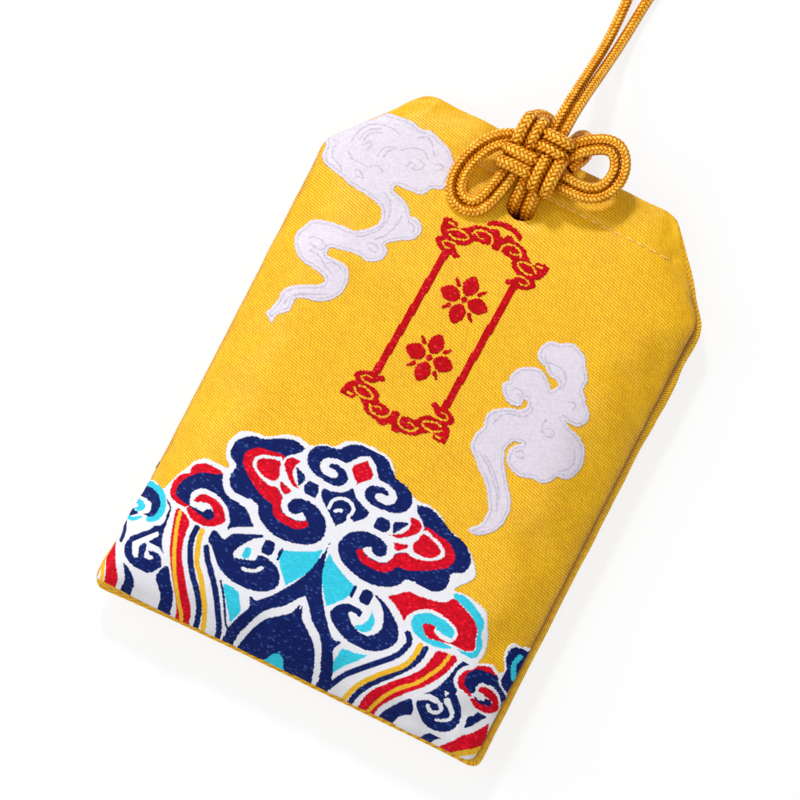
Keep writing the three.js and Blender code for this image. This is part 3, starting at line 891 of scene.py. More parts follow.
@dataclass
class KnottedCord:
    """The cord: neck through the hole, pinwheel knot, two doubled ears and the hanging loop."""

    braid: Braid
    tight: Braid
    centre: tuple[float, float, float] = (0.1, 36.4, 10.0)
    top: float = 1.5
    apart: float = 1.4
    pivot: tuple[float, float, float] = (0.1, 40.8756, 10.0045)
    drop: float = 9.2045
    start: float = 0.69
    left_ear: Spots = (
        (-2.6, 2.2, 0.0), (-4.4, 2.3, 0.1), (-6.2, 1.7, 0.0), (-7.9, 0.2, -0.3), (-9.2, -2.0, -0.7),
        (-9.9, -4.3, -1.1), (-9.95, -6.5, -1.3), (-9.2, -8.4, -1.3), (-7.7, -9.45, -1.25), (-6.0, -9.5, -1.2),
        (-4.6, -8.7, -1.0), (-3.7, -7.1, -0.7), (-3.15, -5.2, -0.4), (-2.8, -3.6, -0.2), (-2.6, -2.0, 0.0),
    )
    right_ear: Spots = (
        (0.6, 2.6, 0.1), (1.9, 3.6, 0.15), (3.1, 4.9, 0.2), (4.6, 6.1, 0.1), (6.2, 6.9, 0.0),
        (7.8, 7.0, -0.1), (9.1, 6.2, -0.2), (10.0, 4.7, -0.3), (10.25, 3.0, -0.4), (9.9, 1.2, -0.4), (8.9, -0.3, -0.3),
        (7.4, -1.2, -0.1), (5.7, -1.5, 0.1), (4.2, -1.5, 0.2), (2.8, -1.4, 0.15), (1.3, -1.2, 0.1),
    )
    neck: Spots = (
        (-3.4, 37.8, 9.2), (-4.4, 40.2, 8.7), (-3.9, 42.2, 7.2), (-2.5, 42.7, 5.0), (-1.3, 41.3, 2.2),
        (-0.9, 39.2, 0.95), (-0.9, 37.4, 0.85), (-0.9, 35.375, 0.8), (-0.9, 33.0, 1.3), (-0.85, 31.1, 2.7),
        (-0.9, 29.9, 4.4), (-0.95, 29.7, 6.4), (-0.95, 30.6, 8.2), (-0.93, 32.3, 9.3), (-0.9, 34.2, 9.6),
    )
    loop: Spots = (
        (0.0, -1.4, 0.0), (0.0, 0.0, 0.0), (0.0, 3.2, 0.05), (0.02, 6.6, 0.25), (0.05, 10.0, 0.53),
        (0.12, 14.0, 0.83), (0.28, 18.0, 0.97), (0.62, 23.0, 1.0), (1.5, 30.0, 1.0), (2.5, 37.5, 1.0),
        (3.3, 45.0, 1.0), (3.9, 51.0, 1.0), (3.7, 55.2, 1.0), (2.4, 58.5, 1.0), (-0.78, 59.9, 1.0),
    )

    def ear(self, spots: Spots, inward: float) -> tuple[Points, Points]:
        """The outer and inner runs of one ear.

        Args:
            spots: the outer run, from the knot's centre.
            inward: 1 where the inside lies left of the way along it, -1 where right.

        Returns:
            Both runs as fine points in millimetres.
        """
        outer = curve_through(spots, False, 10)
        way = np.gradient(outer[:, :2], axis=0)
        way /= np.linalg.norm(way, axis=1, keepdims=True)
        inner = outer.copy()
        inner[:, :2] += self.apart * inward * np.column_stack([-way[:, 1], way[:, 0]])
        inner[:, 2] += 0.05
        return outer + np.array(self.centre), inner[4:-4] + np.array(self.centre)

    def pinwheel(self) -> list[Points]:
        """The knot's eight runs: four pairs, each over the next and under the one before."""
        runs = []
        for (cos, sin), offsets, tuck, rim in (
            ((1, 0), (-4.1, -2.25), 1.4, 5.0),
            ((0, 1), (-1.75, 0.05), 0.3, 4.8),
            ((-1, 0), (-2.25, -0.35), -1.5, 2.85),
            ((0, -1), (-3.85, -2.2), -1.7, 2.3),
        ):
            arc = (
                (rim - 2.9, -0.55), (rim - 1.5, -0.6), (rim - 0.35, -0.3), (rim, 0.35), (rim - 0.35, 1.05),
                (rim - 1.2, self.top), ((rim + tuck) / 2, self.top + 0.1), (tuck + 0.7, self.top - 0.15),
                (tuck - 0.05, 0.75), (tuck - 0.75, 0.0),
            )
            for offset in offsets:
                line = curve_through(tuple((offset, *spot) for spot in arc), False, 10)
                x, y = line[:, 0] * cos - line[:, 1] * sin, line[:, 0] * sin + line[:, 1] * cos
                runs.append(np.column_stack([x, y, line[:, 2]]) + np.array(self.centre))
        return runs

    def loop_route(self) -> Points:
        """The hanging loop's middle line, from the knot out, round and back."""
        half = np.array(self.loop)
        half = np.column_stack([self.start + half[:, 0], half[:, 1], -half[:, 2] * self.drop])
        other = half[:-1][::-1] * np.array([-1.0, 1.0, 1.0])
        return curve_through(np.vstack([half, other]), False, 12) + np.array(self.pivot)

    @staticmethod
    def sleeve(route: Points, radius: float) -> tuple[Points, Points, Points]:
        """Eight points round each step of a route, with their outward and lengthwise directions."""
        steps = route[::3]
        way = np.gradient(steps, axis=0)
        way /= np.linalg.norm(way, axis=1, keepdims=True)
        side = np.cross(way, (0.31, 0.17, 0.93))
        side /= np.linalg.norm(side, axis=1, keepdims=True)
        turn = np.linspace(0, math.tau, 8, endpoint=False)[None, :, None]
        out = side[:, None] * np.cos(turn) + np.cross(side, way)[:, None] * np.sin(turn)
        return (steps[:, None] + radius * out).reshape(-1, 3), out.reshape(-1, 3), np.repeat(way, 8, axis=0)

    @staticmethod
    def neck_hole_shade(points: Points) -> Points:
        """Painted shade on the neck, where the hole and the knot's shadow darken it."""
        deep = 1.6 * np.clip((9.8 - points[:, 2]) / 2.6, 0, 1)
        return deep * share_between(points[:, 2], 3, 5) * (points[:, 1] < 36)

    def paint_occlusion_shade(self, pieces: list[tuple[Object, list[Points], float]]) -> None:
        """Keeps, from 0 to 1, how much painted shade each point of the cord takes where other strands close round it.

        Args:
            pieces: each piece with its routes and its strands' radius.
        """
        sleeves = [self.sleeve(route, radius) for _, routes, radius in pieces for route in routes]
        faces, base = [], 0
        for places, _, _ in sleeves:
            for i in range(len(places) // 8 - 1):
                for j in range(8):
                    a, b = base + i * 8 + j, base + i * 8 + (j + 1) % 8
                    faces.append((a, b, b + 8, a + 8))
            base += len(places)
        places, outs, ways = (np.vstack([sleeve[k] for sleeve in sleeves]) for k in range(3))
        tree = BVHTree.FromPolygons(places.tolist(), faces)
        across = np.cross(ways, outs)
        reach, lift, gain = 3.0, 0.12, 1.6
        occlusion_shade, total = np.zeros(len(places)), 0.0
        for weight, aims in ((1.0, outs), *((0.7, outs + s * d) for s in (-1, 1) for d in (ways, across))):
            total += weight
            for k, (place, out, aim) in enumerate(zip(places, outs, aims)):
                distance = tree.ray_cast(Vector(place + out * lift), Vector(aim).normalized(), reach)[3]
                occlusion_shade[k] += 0 if distance is None else weight * (1 - distance / reach)
        occlusion_shade = np.clip(occlusion_shade / total * gain, 0, 1)
        finder = point_finder(places)
        for made, _, _ in pieces:
            values = np.zeros(len(made.data.vertices), np.float32)
            points = mesh_points(made.data)
            for v, point in enumerate(points):
                near = finder.find_n(point, 3)
                weights = [1 / (0.05 + distance) for _, _, distance in near]
                values[v] = sum(w * occlusion_shade[k] for w, (_, k, _) in zip(weights, near)) / sum(weights)
            # the neck takes painted shade in the hole and painted shadow under the knot
            if "neck" in made.name:
                values = np.maximum(values, self.neck_hole_shade(points))
            write_shares(made.data, "occlusion_shade", values)

    def build(self) -> list[Object]:
        """All the cord's pieces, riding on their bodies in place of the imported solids."""
        route = self.loop_route()
        loop = self.braid.along("loop_cord", [route])
        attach(loop, "loop")
        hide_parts("hanging_loop")
        left, right = self.ear(self.left_ear, 1.0), self.ear(self.right_ear, -1.0)
        neck = curve_through(self.neck, False, 10)
        mirror = np.array([-1.0, 1.0, 1.0])
        pieces, runs = [loop], [(loop, [route], self.braid.diameter / 2)]
        for name, routes, node in (
            ("left_ear_outer_cord", [left[0]], "left_ear_outer"),
            ("left_ear_inner_cord", [left[1]], "left_ear_inner"),
            ("right_ear_outer_cord", [right[0]], "right_ear_outer"),
            ("right_ear_inner_cord", [right[1]], "right_ear_inner"),
            ("left_neck_cord", [neck], "neck_strand_left"),
            ("right_neck_cord", [neck * mirror], "neck_strand_right"),
            ("knot_cord", self.pinwheel(), "knot_core"),
        ):
            braid = self.tight if node.startswith(("knot", "neck")) else self.braid
            made = braid.along(name, routes)
            runs.append((made, routes, braid.diameter / 2))
            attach(made, "knot")
            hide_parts(node)
            pieces.append(made)
        self.paint_occlusion_shade(runs)
        return pieces


@dataclass
class Stitching:
    """Rows of short arched stitches."""

    finish: Material
    length: float
    pitch: float
    thread: float
    rise: float = 0.14
    tree: NodeTree | None = None

    def build_tree(self) -> NodeTree:
        """The tree that lays one arched stitch at each step of a path."""
        tree, board, source = new_tree("Stitches", ("Length", "Pitch", "Thread", "Rise", "Up X", "Up Y", "Up Z"))
        taken = source.outputs
        path = board.out("GeometryNodeMeshToCurve", {0: taken["Path"]})
        path = board.out("GeometryNodeResampleCurve", {0: path, "Length": taken["Pitch"]}, mode="LENGTH")
        half = board.math("MULTIPLY", taken["Length"], 0.5)
        back = board.math("MULTIPLY", half, -1.0)
        low = board.math("MULTIPLY", taken["Rise"], -1.0)
        ends = [board.out("ShaderNodeCombineXYZ", {0: x, 2: low}) for x in (back, half)]
        middle = board.out("ShaderNodeCombineXYZ", {2: taken["Rise"]})
        values = {"Resolution": 6, "Start": ends[0], "Middle": middle, "End": ends[1]}
        arch = board.out("GeometryNodeCurveQuadraticBezier", values)
        radius = board.math("MULTIPLY", taken["Thread"], 0.5)
        ring = board.out("GeometryNodeCurvePrimitiveCircle", {"Resolution": 6, "Radius": radius})
        stitch = board.out("GeometryNodeCurveToMesh", {0: arch, 1: ring, "Fill Caps": True})
        tangent = board.out("GeometryNodeInputTangent")
        up = board.out("ShaderNodeCombineXYZ", {0: taken["Up X"], 1: taken["Up Y"], 2: taken["Up Z"]})
        turn = board.out("FunctionNodeAlignRotationToVector", {"Vector": tangent}, axis="X")
        values = {"Rotation": turn, "Vector": up}
        turn = board.out("FunctionNodeAlignRotationToVector", values, axis="Z", pivot_axis="X")
        values = {"Points": path, "Instance": stitch, "Rotation": turn}
        rows = board.out("GeometryNodeInstanceOnPoints", values)
        end_tree(board, rows, taken["Finish"])
        return tree

    def row(self, name: str, route: Points, up: tuple[float, float, float], node: str) -> Object:
        """One row of stitches in place of a packed thread.

        Args:
            name: the piece's name.
            route: the row's line in millimetres.
            up: the way out of the cloth.
            node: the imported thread.

        Returns:
            The piece, riding on the bag.
        """
        self.tree = self.tree or self.build_tree()
        values = {
            "Length": self.length * MM, "Pitch": self.pitch * MM, "Thread": self.thread * MM,
            "Rise": self.rise * MM, "Up X": up[0], "Up Y": up[1], "Up Z": up[2], "Finish": self.finish,
        }
        made = path_piece(name, [route], self.tree, values)
        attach(made, "bag")
        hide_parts(node)
        return made


def inside(u: Points, v: Points, ring: Points) -> Points:
    """Which places lie inside a closed ring of points."""
    hit = np.zeros(u.shape, bool)
    for (ax, ay), (bx, by) in zip(ring, np.roll(ring, -1, axis=0)):
        if ay != by:
            hit ^= ((ay > v) != (by > v)) & (u < (bx - ax) * (v - ay) / (by - ay) + ax)
    return hit


def distance(u: Points, v: Points, line: Points) -> tuple[Points, Points]:
    """Distance of places from a line of points, and the nearest share of its way."""
    best = np.full(u.shape, 1e9)
    share = np.zeros(u.shape)
    count = len(line) - 1
    for k in range(count):
        (ax, ay), (bx, by) = line[k], line[k + 1]
        size = (bx - ax) ** 2 + (by - ay) ** 2
        if size < 1e-12:
            continue
        t = np.clip(((u - ax) * (bx - ax) + (v - ay) * (by - ay)) / size, 0, 1)
        d = np.hypot(u - ax - t * (bx - ax), v - ay - t * (by - ay))
        nearer = d < best
        best = np.where(nearer, d, best)
        share = np.where(nearer, (k + t) / count, share)
    return best, share


def box_places(u: Points, v: Points, line: Points, room: float = 0.0) -> Points:
    """Which places lie in the box of a line of points, with some room round it."""
    low, high = line.min(axis=0) - room, line.max(axis=0) + room
    return np.flatnonzero((u > low[0]) & (u < high[0]) & (v > low[1]) & (v < high[1]))


def thread_number(thread: Thread | None) -> int:
    """The number that stands for a thread, or -1 for the bare ground."""
    return -1 if thread is None else list(Thread).index(thread)


@dataclass(frozen=True)
class Patch:
    """A woven area inside a smooth closed line, with a contour line at some depth if one is given."""

    thread: Thread | None
    spots: Row | Points
    contour: float | None = None

    def paint(self, u: Points, v: Points, colours: Points) -> None:
        """Weaves the area into an array of thread numbers."""
        ring = curve_through(pairs(self.spots), True, 5)
        near = box_places(u, v, ring)
        taken = near[inside(u[near], v[near], ring)]
        colours[taken] = thread_number(self.thread)
        if self.contour is not None:
            deep, _ = distance(u[taken], v[taken], np.vstack([ring, ring[:1]]))
            colours[taken[np.abs(deep - self.contour) < 0.08]] = thread_number(Thread.CONTOUR)


@dataclass(frozen=True)
class Line:
    """A woven line of some width, which may change along it."""

    thread: Thread | None
    spots: Row | Points
    width: float
    end_width: float | None = None

    def paint(self, u: Points, v: Points, colours: Points) -> None:
        """Weaves the line into an array of thread numbers."""
        line = curve_through(pairs(self.spots), False, 6)
        last = self.width if self.end_width is None else self.end_width
        near = box_places(u, v, line, max(self.width, last))
        apart, share = distance(u[near], v[near], line)
        colours[near[apart < (self.width + (last - self.width) * share) / 2]] = thread_number(self.thread)


def woven(art: Art) -> list[Patch | Line]:
    """Shapes of a table: a thread and a row of points for an area, and widths as well for a line."""
    return [Line(thread, row, *widths) if widths else Patch(thread, row) for thread, row, *widths in art]


class WaveBorder:
    """The wave-and-cliff border along the bottom: a mirrored middle and two freer sides."""

    NAVY, RED, AQUA, SNOW, YELLOW = Thread.NAVY, Thread.RED, Thread.AQUA, Thread.SNOW, Thread.YELLOW
    GROUND: Row = (
        -31, -23.2, -28.3, -23.2, -27, -23.1, -25.8, -23.6, -25.3, -22.6, -24.8, -21, -24, -19.3, -23.6, -18.3,
        -22.3, -17.3, -21, -17.2, -19.4, -17.2, -19.3, -16.8, -20.2, -15.9, -20.7, -14.7, -20.7, -13.7, -20, -12.2,
        -18.7, -11.5, -16.7, -11.2, -15.6, -10.6, -14.4, -9.8, -12.7, -9.4, -10.8, -9.6, -9.4, -8.7, -7.9, -8.3,
        -7.1, -7.2, -6, -6.6, -4.8, -6.3, -2.9, -6.2, -0.8, -6.5, 0.5, -7.6, 1.1, -8.6, 2.6, -8.7, 4, -9.5, 4.9, -9.75,
        7.2, -9.75, 8.8, -10.3, 10.1, -11.3, 11.5, -11.6, 13.4, -12.2, 15.1, -13.5, 16.2, -15, 16.1, -16, 14.9, -17.5,
        14.7, -18.1, 16.3, -18, 18, -18.2, 19.7, -18.8, 20.6, -20.2, 21.5, -21.8, 22, -23.7, 21.8, -25.2, 22.2, -25.1,
        23.6, -24.6, 24.9, -25.2, 25.3, -24.5, 24.5, -23.1, 24.25, -21.8, 24.9, -20.8, 26.1, -20.9, 27, -20.5,
        31, -20.3, 31, -20.3, 31, -41, 31, -41, -31, -41, -31, -41,
    )
    LEFT: Art = (
        (RED, (
            -22.8, -24.9, -22.4, -26.8, -21.7, -28.9, -20.8, -30.8, -19.6, -32.7, -18.3, -34.5, -17.3, -36,
            -16.5, -37.7, -16, -41, -16, -41, -14, -41, -14, -41, -14.5, -37.7, -15.2, -35.8, -16.5, -34.1,
            -17.9, -32.2, -19.2, -30.4, -20, -28.5, -20.3, -26.8, -20.4, -26, -21.2, -25.2,
        )),
        (YELLOW, (
            -22.2, -25.1, -21.8, -26.8, -21, -28.9, -20.2, -30.8, -19, -32.9, -17.7, -34.8, -16.7, -36.2, -15.7, -37.7,
            -15.2, -41,
        ), 0.5),
        (NAVY, (
            -19.3, -26, -19.3, -27, -18.9, -28.6, -18, -30.3, -16.9, -31.8, -15.4, -33.5, -14.2, -35.3, -13.5, -37.7,
            -13, -41,
        ), 0.8),
        (YELLOW, (
            -18.5, -26, -18.3, -27.2, -17.7, -28.9, -17.1, -30.2, -15.8, -31.6, -14.6, -33.3, -13.5, -35, -12.5, -37.7,
            -12.1, -41,
        ), 0.7),
        (NAVY, (
            -17, -27.7, -16, -29.2, -14.6, -30.7, -13.2, -32.4, -12, -34.2, -10.9, -36, -10.3, -37.7, -9.8, -41,
        ), 0.8),
        (NAVY, (-13.3, -30.8, -12.3, -32, -11.2, -33.7, -10.2, -35.4, -9.5, -36), 0.3),
        (NAVY, (
            -11.1, -22.9, -12.9, -23.7, -14.6, -24.5, -15.4, -25.7, -16.5, -25.3, -17.3, -25.4, -17.2, -26.8,
            -16.5, -27.2, -15.6, -28.1, -14.6, -29.1, -12.9, -29.9, -10.8, -30.2, -8.5, -29.9, -6.9, -29, -6.3, -27.9,
            -6.7, -26.6, -7.7, -25.8, -9.2, -25.4, -10.3, -25.5, -10.6, -26.4, -11.7, -26.8, -12.9, -27.2, -13.4, -27,
            -13.3, -26, -12.7, -25, -11.9, -23.9, -11.1, -23.3,
        )),
        (SNOW, (-9, -26.8, -9.7, -27.7, -11.2, -28.3, -11.6, -27.9, -10.2, -27.5, -9.4, -26.7)),
        (AQUA, (-12.3, -25.3, -11.5, -25.4, -11.5, -26.6, -12.3, -26.6)),
        (AQUA, (
            -12.7, -30.9, -10.6, -31, -10, -31.8, -9.2, -32.9, -9.2, -33.7, -9.7, -35.1, -9.7, -35.1, -10.6, -33.9,
            -11.7, -32.5,
        )),
        (RED, (
            -19.6, -18, -20.8, -17.8, -22.1, -17.9, -23.1, -18.5, -23.6, -19.3, -23.5, -20, -24.4, -20.7, -24.8, -21.7,
            -24.8, -22.8, -24.5, -23.7, -23.5, -24.2, -22.1, -24.3, -21.6, -23.7, -22.8, -23.5, -23.5, -23.1,
            -23.8, -22.4, -23.7, -21.6, -23.2, -20.7, -22.6, -19.9, -21.7, -19.3, -20.5, -18.9, -19.7, -18.4,
        )),
        (NAVY, (
            -19.6, -18.2, -20.6, -18.7, -21.8, -19.1, -22.8, -19.8, -23.4, -20.6, -23.9, -21.5, -24, -22.5,
            -23.8, -23.3, -22.8, -23.7, -21.6, -23.8, -21.9, -22.9, -21.9, -22, -21.4, -21.3, -20.5, -20.9,
            -19.2, -20.9, -17.9, -21.3, -16.8, -21.9, -16.2, -22.7, -15.7, -23.5, -15.6, -24.4, -15, -23.8,
            -13.8, -23.1, -12.7, -22.5, -13.5, -21.8, -14.7, -20.8, -16.4, -20.6, -17.7, -20.4, -18.5, -19.8,
            -19.1, -19, -19.4, -18.2,
        )),
        (RED, (
            -21.3, -23, -21.2, -22.4, -20.8, -21.8, -19.8, -21.5, -18.6, -21.6, -17.5, -22.1, -16.7, -22.9,
            -16.4, -23.6, -16.8, -24.3, -17.7, -25, -19, -25.4, -20.3, -25.3, -21.1, -24.9, -21.7, -24.2, -20.8, -23.9,
            -19.6, -24.1, -18.7, -24.3, -18.2, -24, -18.2, -23.5, -18.5, -23, -19.2, -22.5, -20.3, -22.7, -20.8, -23,
        )),
        (NAVY, (
            -21.6, -23.8, -20.6, -23.7, -19.6, -23.7, -19.1, -23.1, -18.4, -23.1, -18, -23.6, -18.1, -24.2,
            -18.8, -24.4, -20, -24.2, -21, -24,
        )),
        (AQUA, (
            -28.6, -23.8, -27.9, -23.8, -26.9, -23.7, -25.7, -24, -24.9, -24.9, -24.5, -26, -24.7, -27.2, -25.5, -27.8,
        ), 0.8),
        (NAVY, (
            -27.8, -24.2, -26.7, -24.1, -25.6, -24.6, -25, -25.5, -24.9, -26.5, -25.3, -27.4, -26.6, -27.7,
            -25.9, -27.1, -26, -26.2, -26.6, -25.7, -29, -25.7, -28.6, -24.9,
        )),
        (AQUA, (
            -29, -26.2, -27.5, -26.1, -26.8, -26.5, -26.7, -27, -27.2, -27.6, -27.9, -27.5, -27.6, -26.9, -29, -26.8,
        )),
        (NAVY, (-28.9, -27.2, -27.7, -27.7, -26.9, -27.8, -27.3, -28, -27.9, -28.5, -28.9, -28.3)),
        (AQUA, (-29, -28.2, -27.7, -28.6, -26.9, -28.1, -26.4, -28, -26.9, -28.7, -27.7, -29.2, -28.9, -29.1)),
        (NAVY, (-28.2, -29.6, -27.8, -30.4, -27.6, -31.2, -27.5, -32), 0.5),
        (NAVY, (-28.6, -19.8, -27.9, -20.2, -27.8, -21.2, -28.1, -22.2, -28.7, -22)),
        (NAVY, (
            -24.6, -24.4, -24.3, -24.5, -23.8, -24.8, -23.5, -25.3, -23.3, -25.9, -23.2, -26.6, -23.1, -27.5,
            -23, -28.3, -22.7, -29.3, -22.3, -30.1, -21.6, -31.1, -21.6, -31.1, -22.2, -30.7, -22.8, -30.5,
            -23.4, -30.6, -24, -30.5, -24, -30.2, -23.6, -29.6, -23.3, -29.1, -23.7, -28.8, -24.2, -29, -24.4, -28.5,
            -24.1, -28.1, -23.7, -27.8, -23.5, -27.2, -23.6, -26.4, -23.6, -25.7, -23.8, -25.2, -24.3, -24.8,
        )),
        (NAVY, (
            -23.7, -28.7, -24.2, -28.1, -24.6, -28.7, -24.8, -29.1, -25.4, -29.6, -26, -30.3, -26.5, -30.8,
            -26.7, -31.5, -26.8, -32.2, -26.5, -33, -26, -33.6, -25.3, -34, -24.5, -34.2, -23.4, -34.3, -22.5, -34.2,
            -21.9, -33.8, -21.4, -33.1, -21.2, -32.5, -21.6, -31.8, -22.1, -31.4, -22.7, -31.3, -23.3, -31.4,
            -23.6, -31.6, -23.2, -31.9, -22.7, -32, -22.5, -32.1, -22.8, -32.4, -23.3, -32.6, -23.7, -32.5,
            -23.9, -32.1, -24, -31.5, -24.1, -31, -24.5, -30.9, -24.8, -31.1, -24.9, -31.7, -24.8, -32.1, -24.6, -32.7,
            -24.5, -33, -25, -33.1, -25.5, -32.6, -25.8, -32, -26, -31.5, -25.7, -31, -25.2, -30.4, -24.6, -29.7,
            -24.2, -29.3,
        )),
        (RED, (
            -28.6, -31.6, -27.7, -33.3, -26.6, -35.2, -25.5, -37, -25.4, -41, -25.4, -41, -27.4, -41, -27.4, -41,
            -27.1, -37.9, -28.3, -34.8, -29.4, -33,
        )),
        (YELLOW, (-29.5, -33.6, -28.6, -35, -27.9, -36.6, -27.5, -37.9, -27.2, -41), 0.5),
        (NAVY, (
            -25.8, -34.5, -24.4, -35.1, -23.4, -36.2, -23.2, -37.5, -23.1, -41, -24.6, -41, -24.7, -37.7, -24.8, -36.2,
        )),
        (NAVY, (
            -20.5, -32.2, -19.2, -33.7, -18.1, -35.2, -17.3, -37.7, -16.8, -41, -19, -41, -19.2, -37.8, -19.6, -36,
            -21.2, -34.1,
        )),
    )
    RIGHT: Art = (
        (RED, (
            16.3, -26.2, 16, -27.7, 15.5, -29.3, 14, -31.2, 12.4, -32.9, 11.1, -34.5, 10.5, -36.2, 10.4, -37.9,
            10.3, -41, 10.3, -41, 12.7, -41, 12.7, -41, 12.8, -37.9, 12.9, -36.4, 13.6, -35, 14.9, -33.3, 16.5, -31.6,
            18, -29.5, 18.8, -27.7, 19.1, -25.9, 17.6, -25.9,
        )),
        (YELLOW, (
            18, -26, 17.7, -27.7, 16.8, -29.5, 15.7, -31.2, 14, -32.9, 12.9, -34.5, 12.2, -36.2, 11.8, -37.9,
            11.7, -41,
        ), 0.5),
        (NAVY, (
            14.8, -26.6, 14.7, -27.9, 14.2, -29.3, 13, -31, 11.5, -32.7, 10.3, -34.3, 9.5, -36, 9.2, -37.7, 9, -41,
        ), 0.8),
        (YELLOW, (
            14, -26.5, 13.9, -28.1, 13.3, -29.8, 12, -31.2, 10.5, -32.9, 9.3, -34.5, 8.6, -36.2, 8.3, -37.7, 8.1, -41,
        ), 0.7),
        (NAVY, (
            11.8, -25.9, 12.4, -26.5, 12.4, -27.7, 11.8, -29.1, 10.3, -30.8, 8.6, -32.5, 7.2, -34.1, 6.3, -35.6,
            5.8, -36.8,
        ), 0.8),
        (NAVY, (
            5.8, -23.3, 7.4, -23.7, 9.2, -24.8, 10.5, -26, 11, -27.5, 10.3, -28.9, 8.8, -30, 6.8, -30.4, 4.5, -30.1,
            2.6, -29.2, 1.5, -28.1, 1.8, -26.8, 2.8, -26, 4.2, -25.8, 5.2, -26.1, 5.2, -26.8, 4.2, -26.6, 3.7, -27,
            4.5, -27.9, 5.7, -28.5, 7, -28.6, 8, -27.9, 8.4, -26.8, 8, -25.4, 7, -24.1, 5.8, -23.5,
        )),
        (AQUA, (6.3, -25.4, 7.2, -26.4, 7.3, -27.7, 6.3, -28.4, 5.1, -28.2, 5.9, -27.5, 6.4, -26.4)),
        (AQUA, (
            5.1, -31.5, 6.5, -31.3, 8.4, -30.8, 8.4, -30.8, 7.6, -32, 6.3, -33.5, 5.3, -35.2, 5.3, -35.2, 4.8, -33.9,
            4.9, -32.5,
        )),
        (AQUA, (
            14.9, -18.5, 16.1, -18.2, 17.6, -18.6, 18.8, -19.2, 19.9, -19.9, 20.3, -20.7, 20.5, -21.8, 21.2, -22.9,
            21.4, -24.1, 20.9, -25, 19.7, -25.1, 18.5, -24.8, 19.7, -24.6, 20.5, -24.2, 20.6, -23.5, 20.2, -22.7,
            19.9, -21.6, 19.1, -20.7, 17.8, -19.9, 16.4, -19.4, 15.1, -19,
        )),
        (RED, (
            15.1, -19.1, 14.5, -19.9, 13.4, -20.4, 11.3, -20.8, 9.5, -20.9, 8.4, -21.8, 7.3, -22.7, 8.4, -23.2,
            9.9, -24.1, 10.6, -24.6, 10.7, -23.9, 11.3, -22.9, 12.4, -22, 13.6, -21.7, 15.7, -21.9, 17.2, -22.5,
            17.8, -23.3, 17.6, -24.1, 17.3, -24.5, 18.5, -24.6, 19.7, -24.5, 20.4, -24.1, 20.5, -23.5, 20.1, -22.7,
            19.8, -21.6, 19.1, -20.7, 17.8, -20, 16.3, -19.4,
        )),
        (AQUA, (
            17.3, -23.7, 17.1, -22.9, 16.1, -22.4, 14.7, -22.1, 13.2, -22.2, 12.2, -22.7, 11.5, -23.4, 11.5, -24.3,
            12.2, -25.2, 13.4, -25.7, 14.9, -25.9, 16.3, -25.7, 17.6, -25.2, 17.5, -24.9, 16.1, -24.9, 14.7, -25.2,
            13.8, -24.9, 13.2, -24.3, 13.1, -23.8, 13.8, -23.5, 14.7, -23.4, 14.9, -23.7, 16.1, -23.9, 17, -23.9,
        )),
        (RED, (
            13.1, -23.8, 13.8, -23.5, 14.7, -23.5, 14.8, -24.1, 15.7, -24.5, 17.4, -24.6, 16.1, -24.9, 15.1, -25.1,
            14.6, -25.2, 13.8, -24.9, 13.2, -24.3,
        )),
        (NAVY, (
            20.9, -25.9, 20, -25.9, 19.6, -26.5, 19.4, -27.2, 19.2, -28.2, 19, -29, 18.7, -29.9, 18.2, -30.9,
            17.5, -31.8, 17.5, -31.8, 18.4, -31.6, 19.5, -31.8, 20, -32, 20.4, -31.6, 20, -31, 19.6, -30.4,
            20.4, -30.4, 21, -30.2, 20.9, -29.6, 20.3, -29.1, 19.9, -28.5, 19.8, -27.8, 20, -27, 20.4, -26.4,
        )),
        (NAVY, (
            20.3, -30.3, 21, -30.1, 21.7, -30.7, 22.5, -31.5, 23, -32.5, 23.1, -33.4, 23, -34.1, 22.5, -34.9,
            21.7, -35.4, 20.8, -35.6, 19.8, -35.6, 18.8, -35.3, 17.9, -34.6, 17.2, -33.9, 16.9, -33.3, 17.4, -32.8,
            18.2, -32.4, 19, -32.4, 19.7, -32.2, 20.4, -31.9, 20.5, -31.6, 20.1, -31,
        )),
        (SNOW, (20.4, -31.4, 21.1, -31.9, 21.7, -32.5, 21.9, -33.1, 21.6, -33.7, 20.9, -34.1, 20.3, -34.3), 0.8, 0.3),
        (SNOW, (19.2, -31.9, 20.1, -32.5, 20.2, -33, 19.9, -33.4, 19.3, -33.6, 18.7, -33.4, 18.5, -33.1), 0.5),
        (RED, (
            25, -25.7, 24.3, -25.4, 23.5, -25, 22.7, -25.2, 22, -25.5, 21.7, -25.9, 21.5, -26.3, 20.9, -26.7,
            20.5, -27.3, 20.4, -28, 20.5, -28.6, 20.9, -29.1, 22, -29.4, 23.1, -29.7, 23.1, -29.7, 22.7, -29,
            22, -28.6, 21.6, -28.3, 21.4, -27.7, 21.4, -27.2, 21.8, -26.5, 22.3, -26, 23, -25.9, 24, -25.9,
        )),
        (NAVY, (
            25, -25.8, 23.9, -25.7, 23, -25.8, 22.2, -25.9, 21.6, -26.4, 21.2, -27.1, 21.2, -27.8, 21.4, -28.4,
            21.9, -28.8, 22.7, -29.1, 23.1, -28.9, 23, -28.2, 23.1, -27.7, 23.5, -27.3, 24.5, -27.2, 25.4, -27.3,
            26.2, -27.8, 26.7, -28.3, 27, -29, 27.1, -29.8, 27.4, -30, 27.7, -29.3, 27.7, -28.7, 27.5, -27.9,
            26.7, -27.3, 25.9, -26.8, 25.3, -26.3,
        )),
        (RED, (
            23.4, -28.5, 23.4, -28.1, 23.7, -27.7, 24.6, -27.6, 25.5, -27.8, 26.2, -28.2, 26.7, -28.9, 27, -29.5,
            26.7, -30.1, 26.1, -30.5, 25.2, -30.7, 24.2, -30.6, 23.6, -30.3, 23, -29.8, 23.8, -29.5, 24.8, -29.7,
            25.5, -29.7, 25.8, -29.3, 25.7, -29, 25, -28.8, 24.2, -28.6, 23.7, -28.6,
        )),
        (NAVY, (
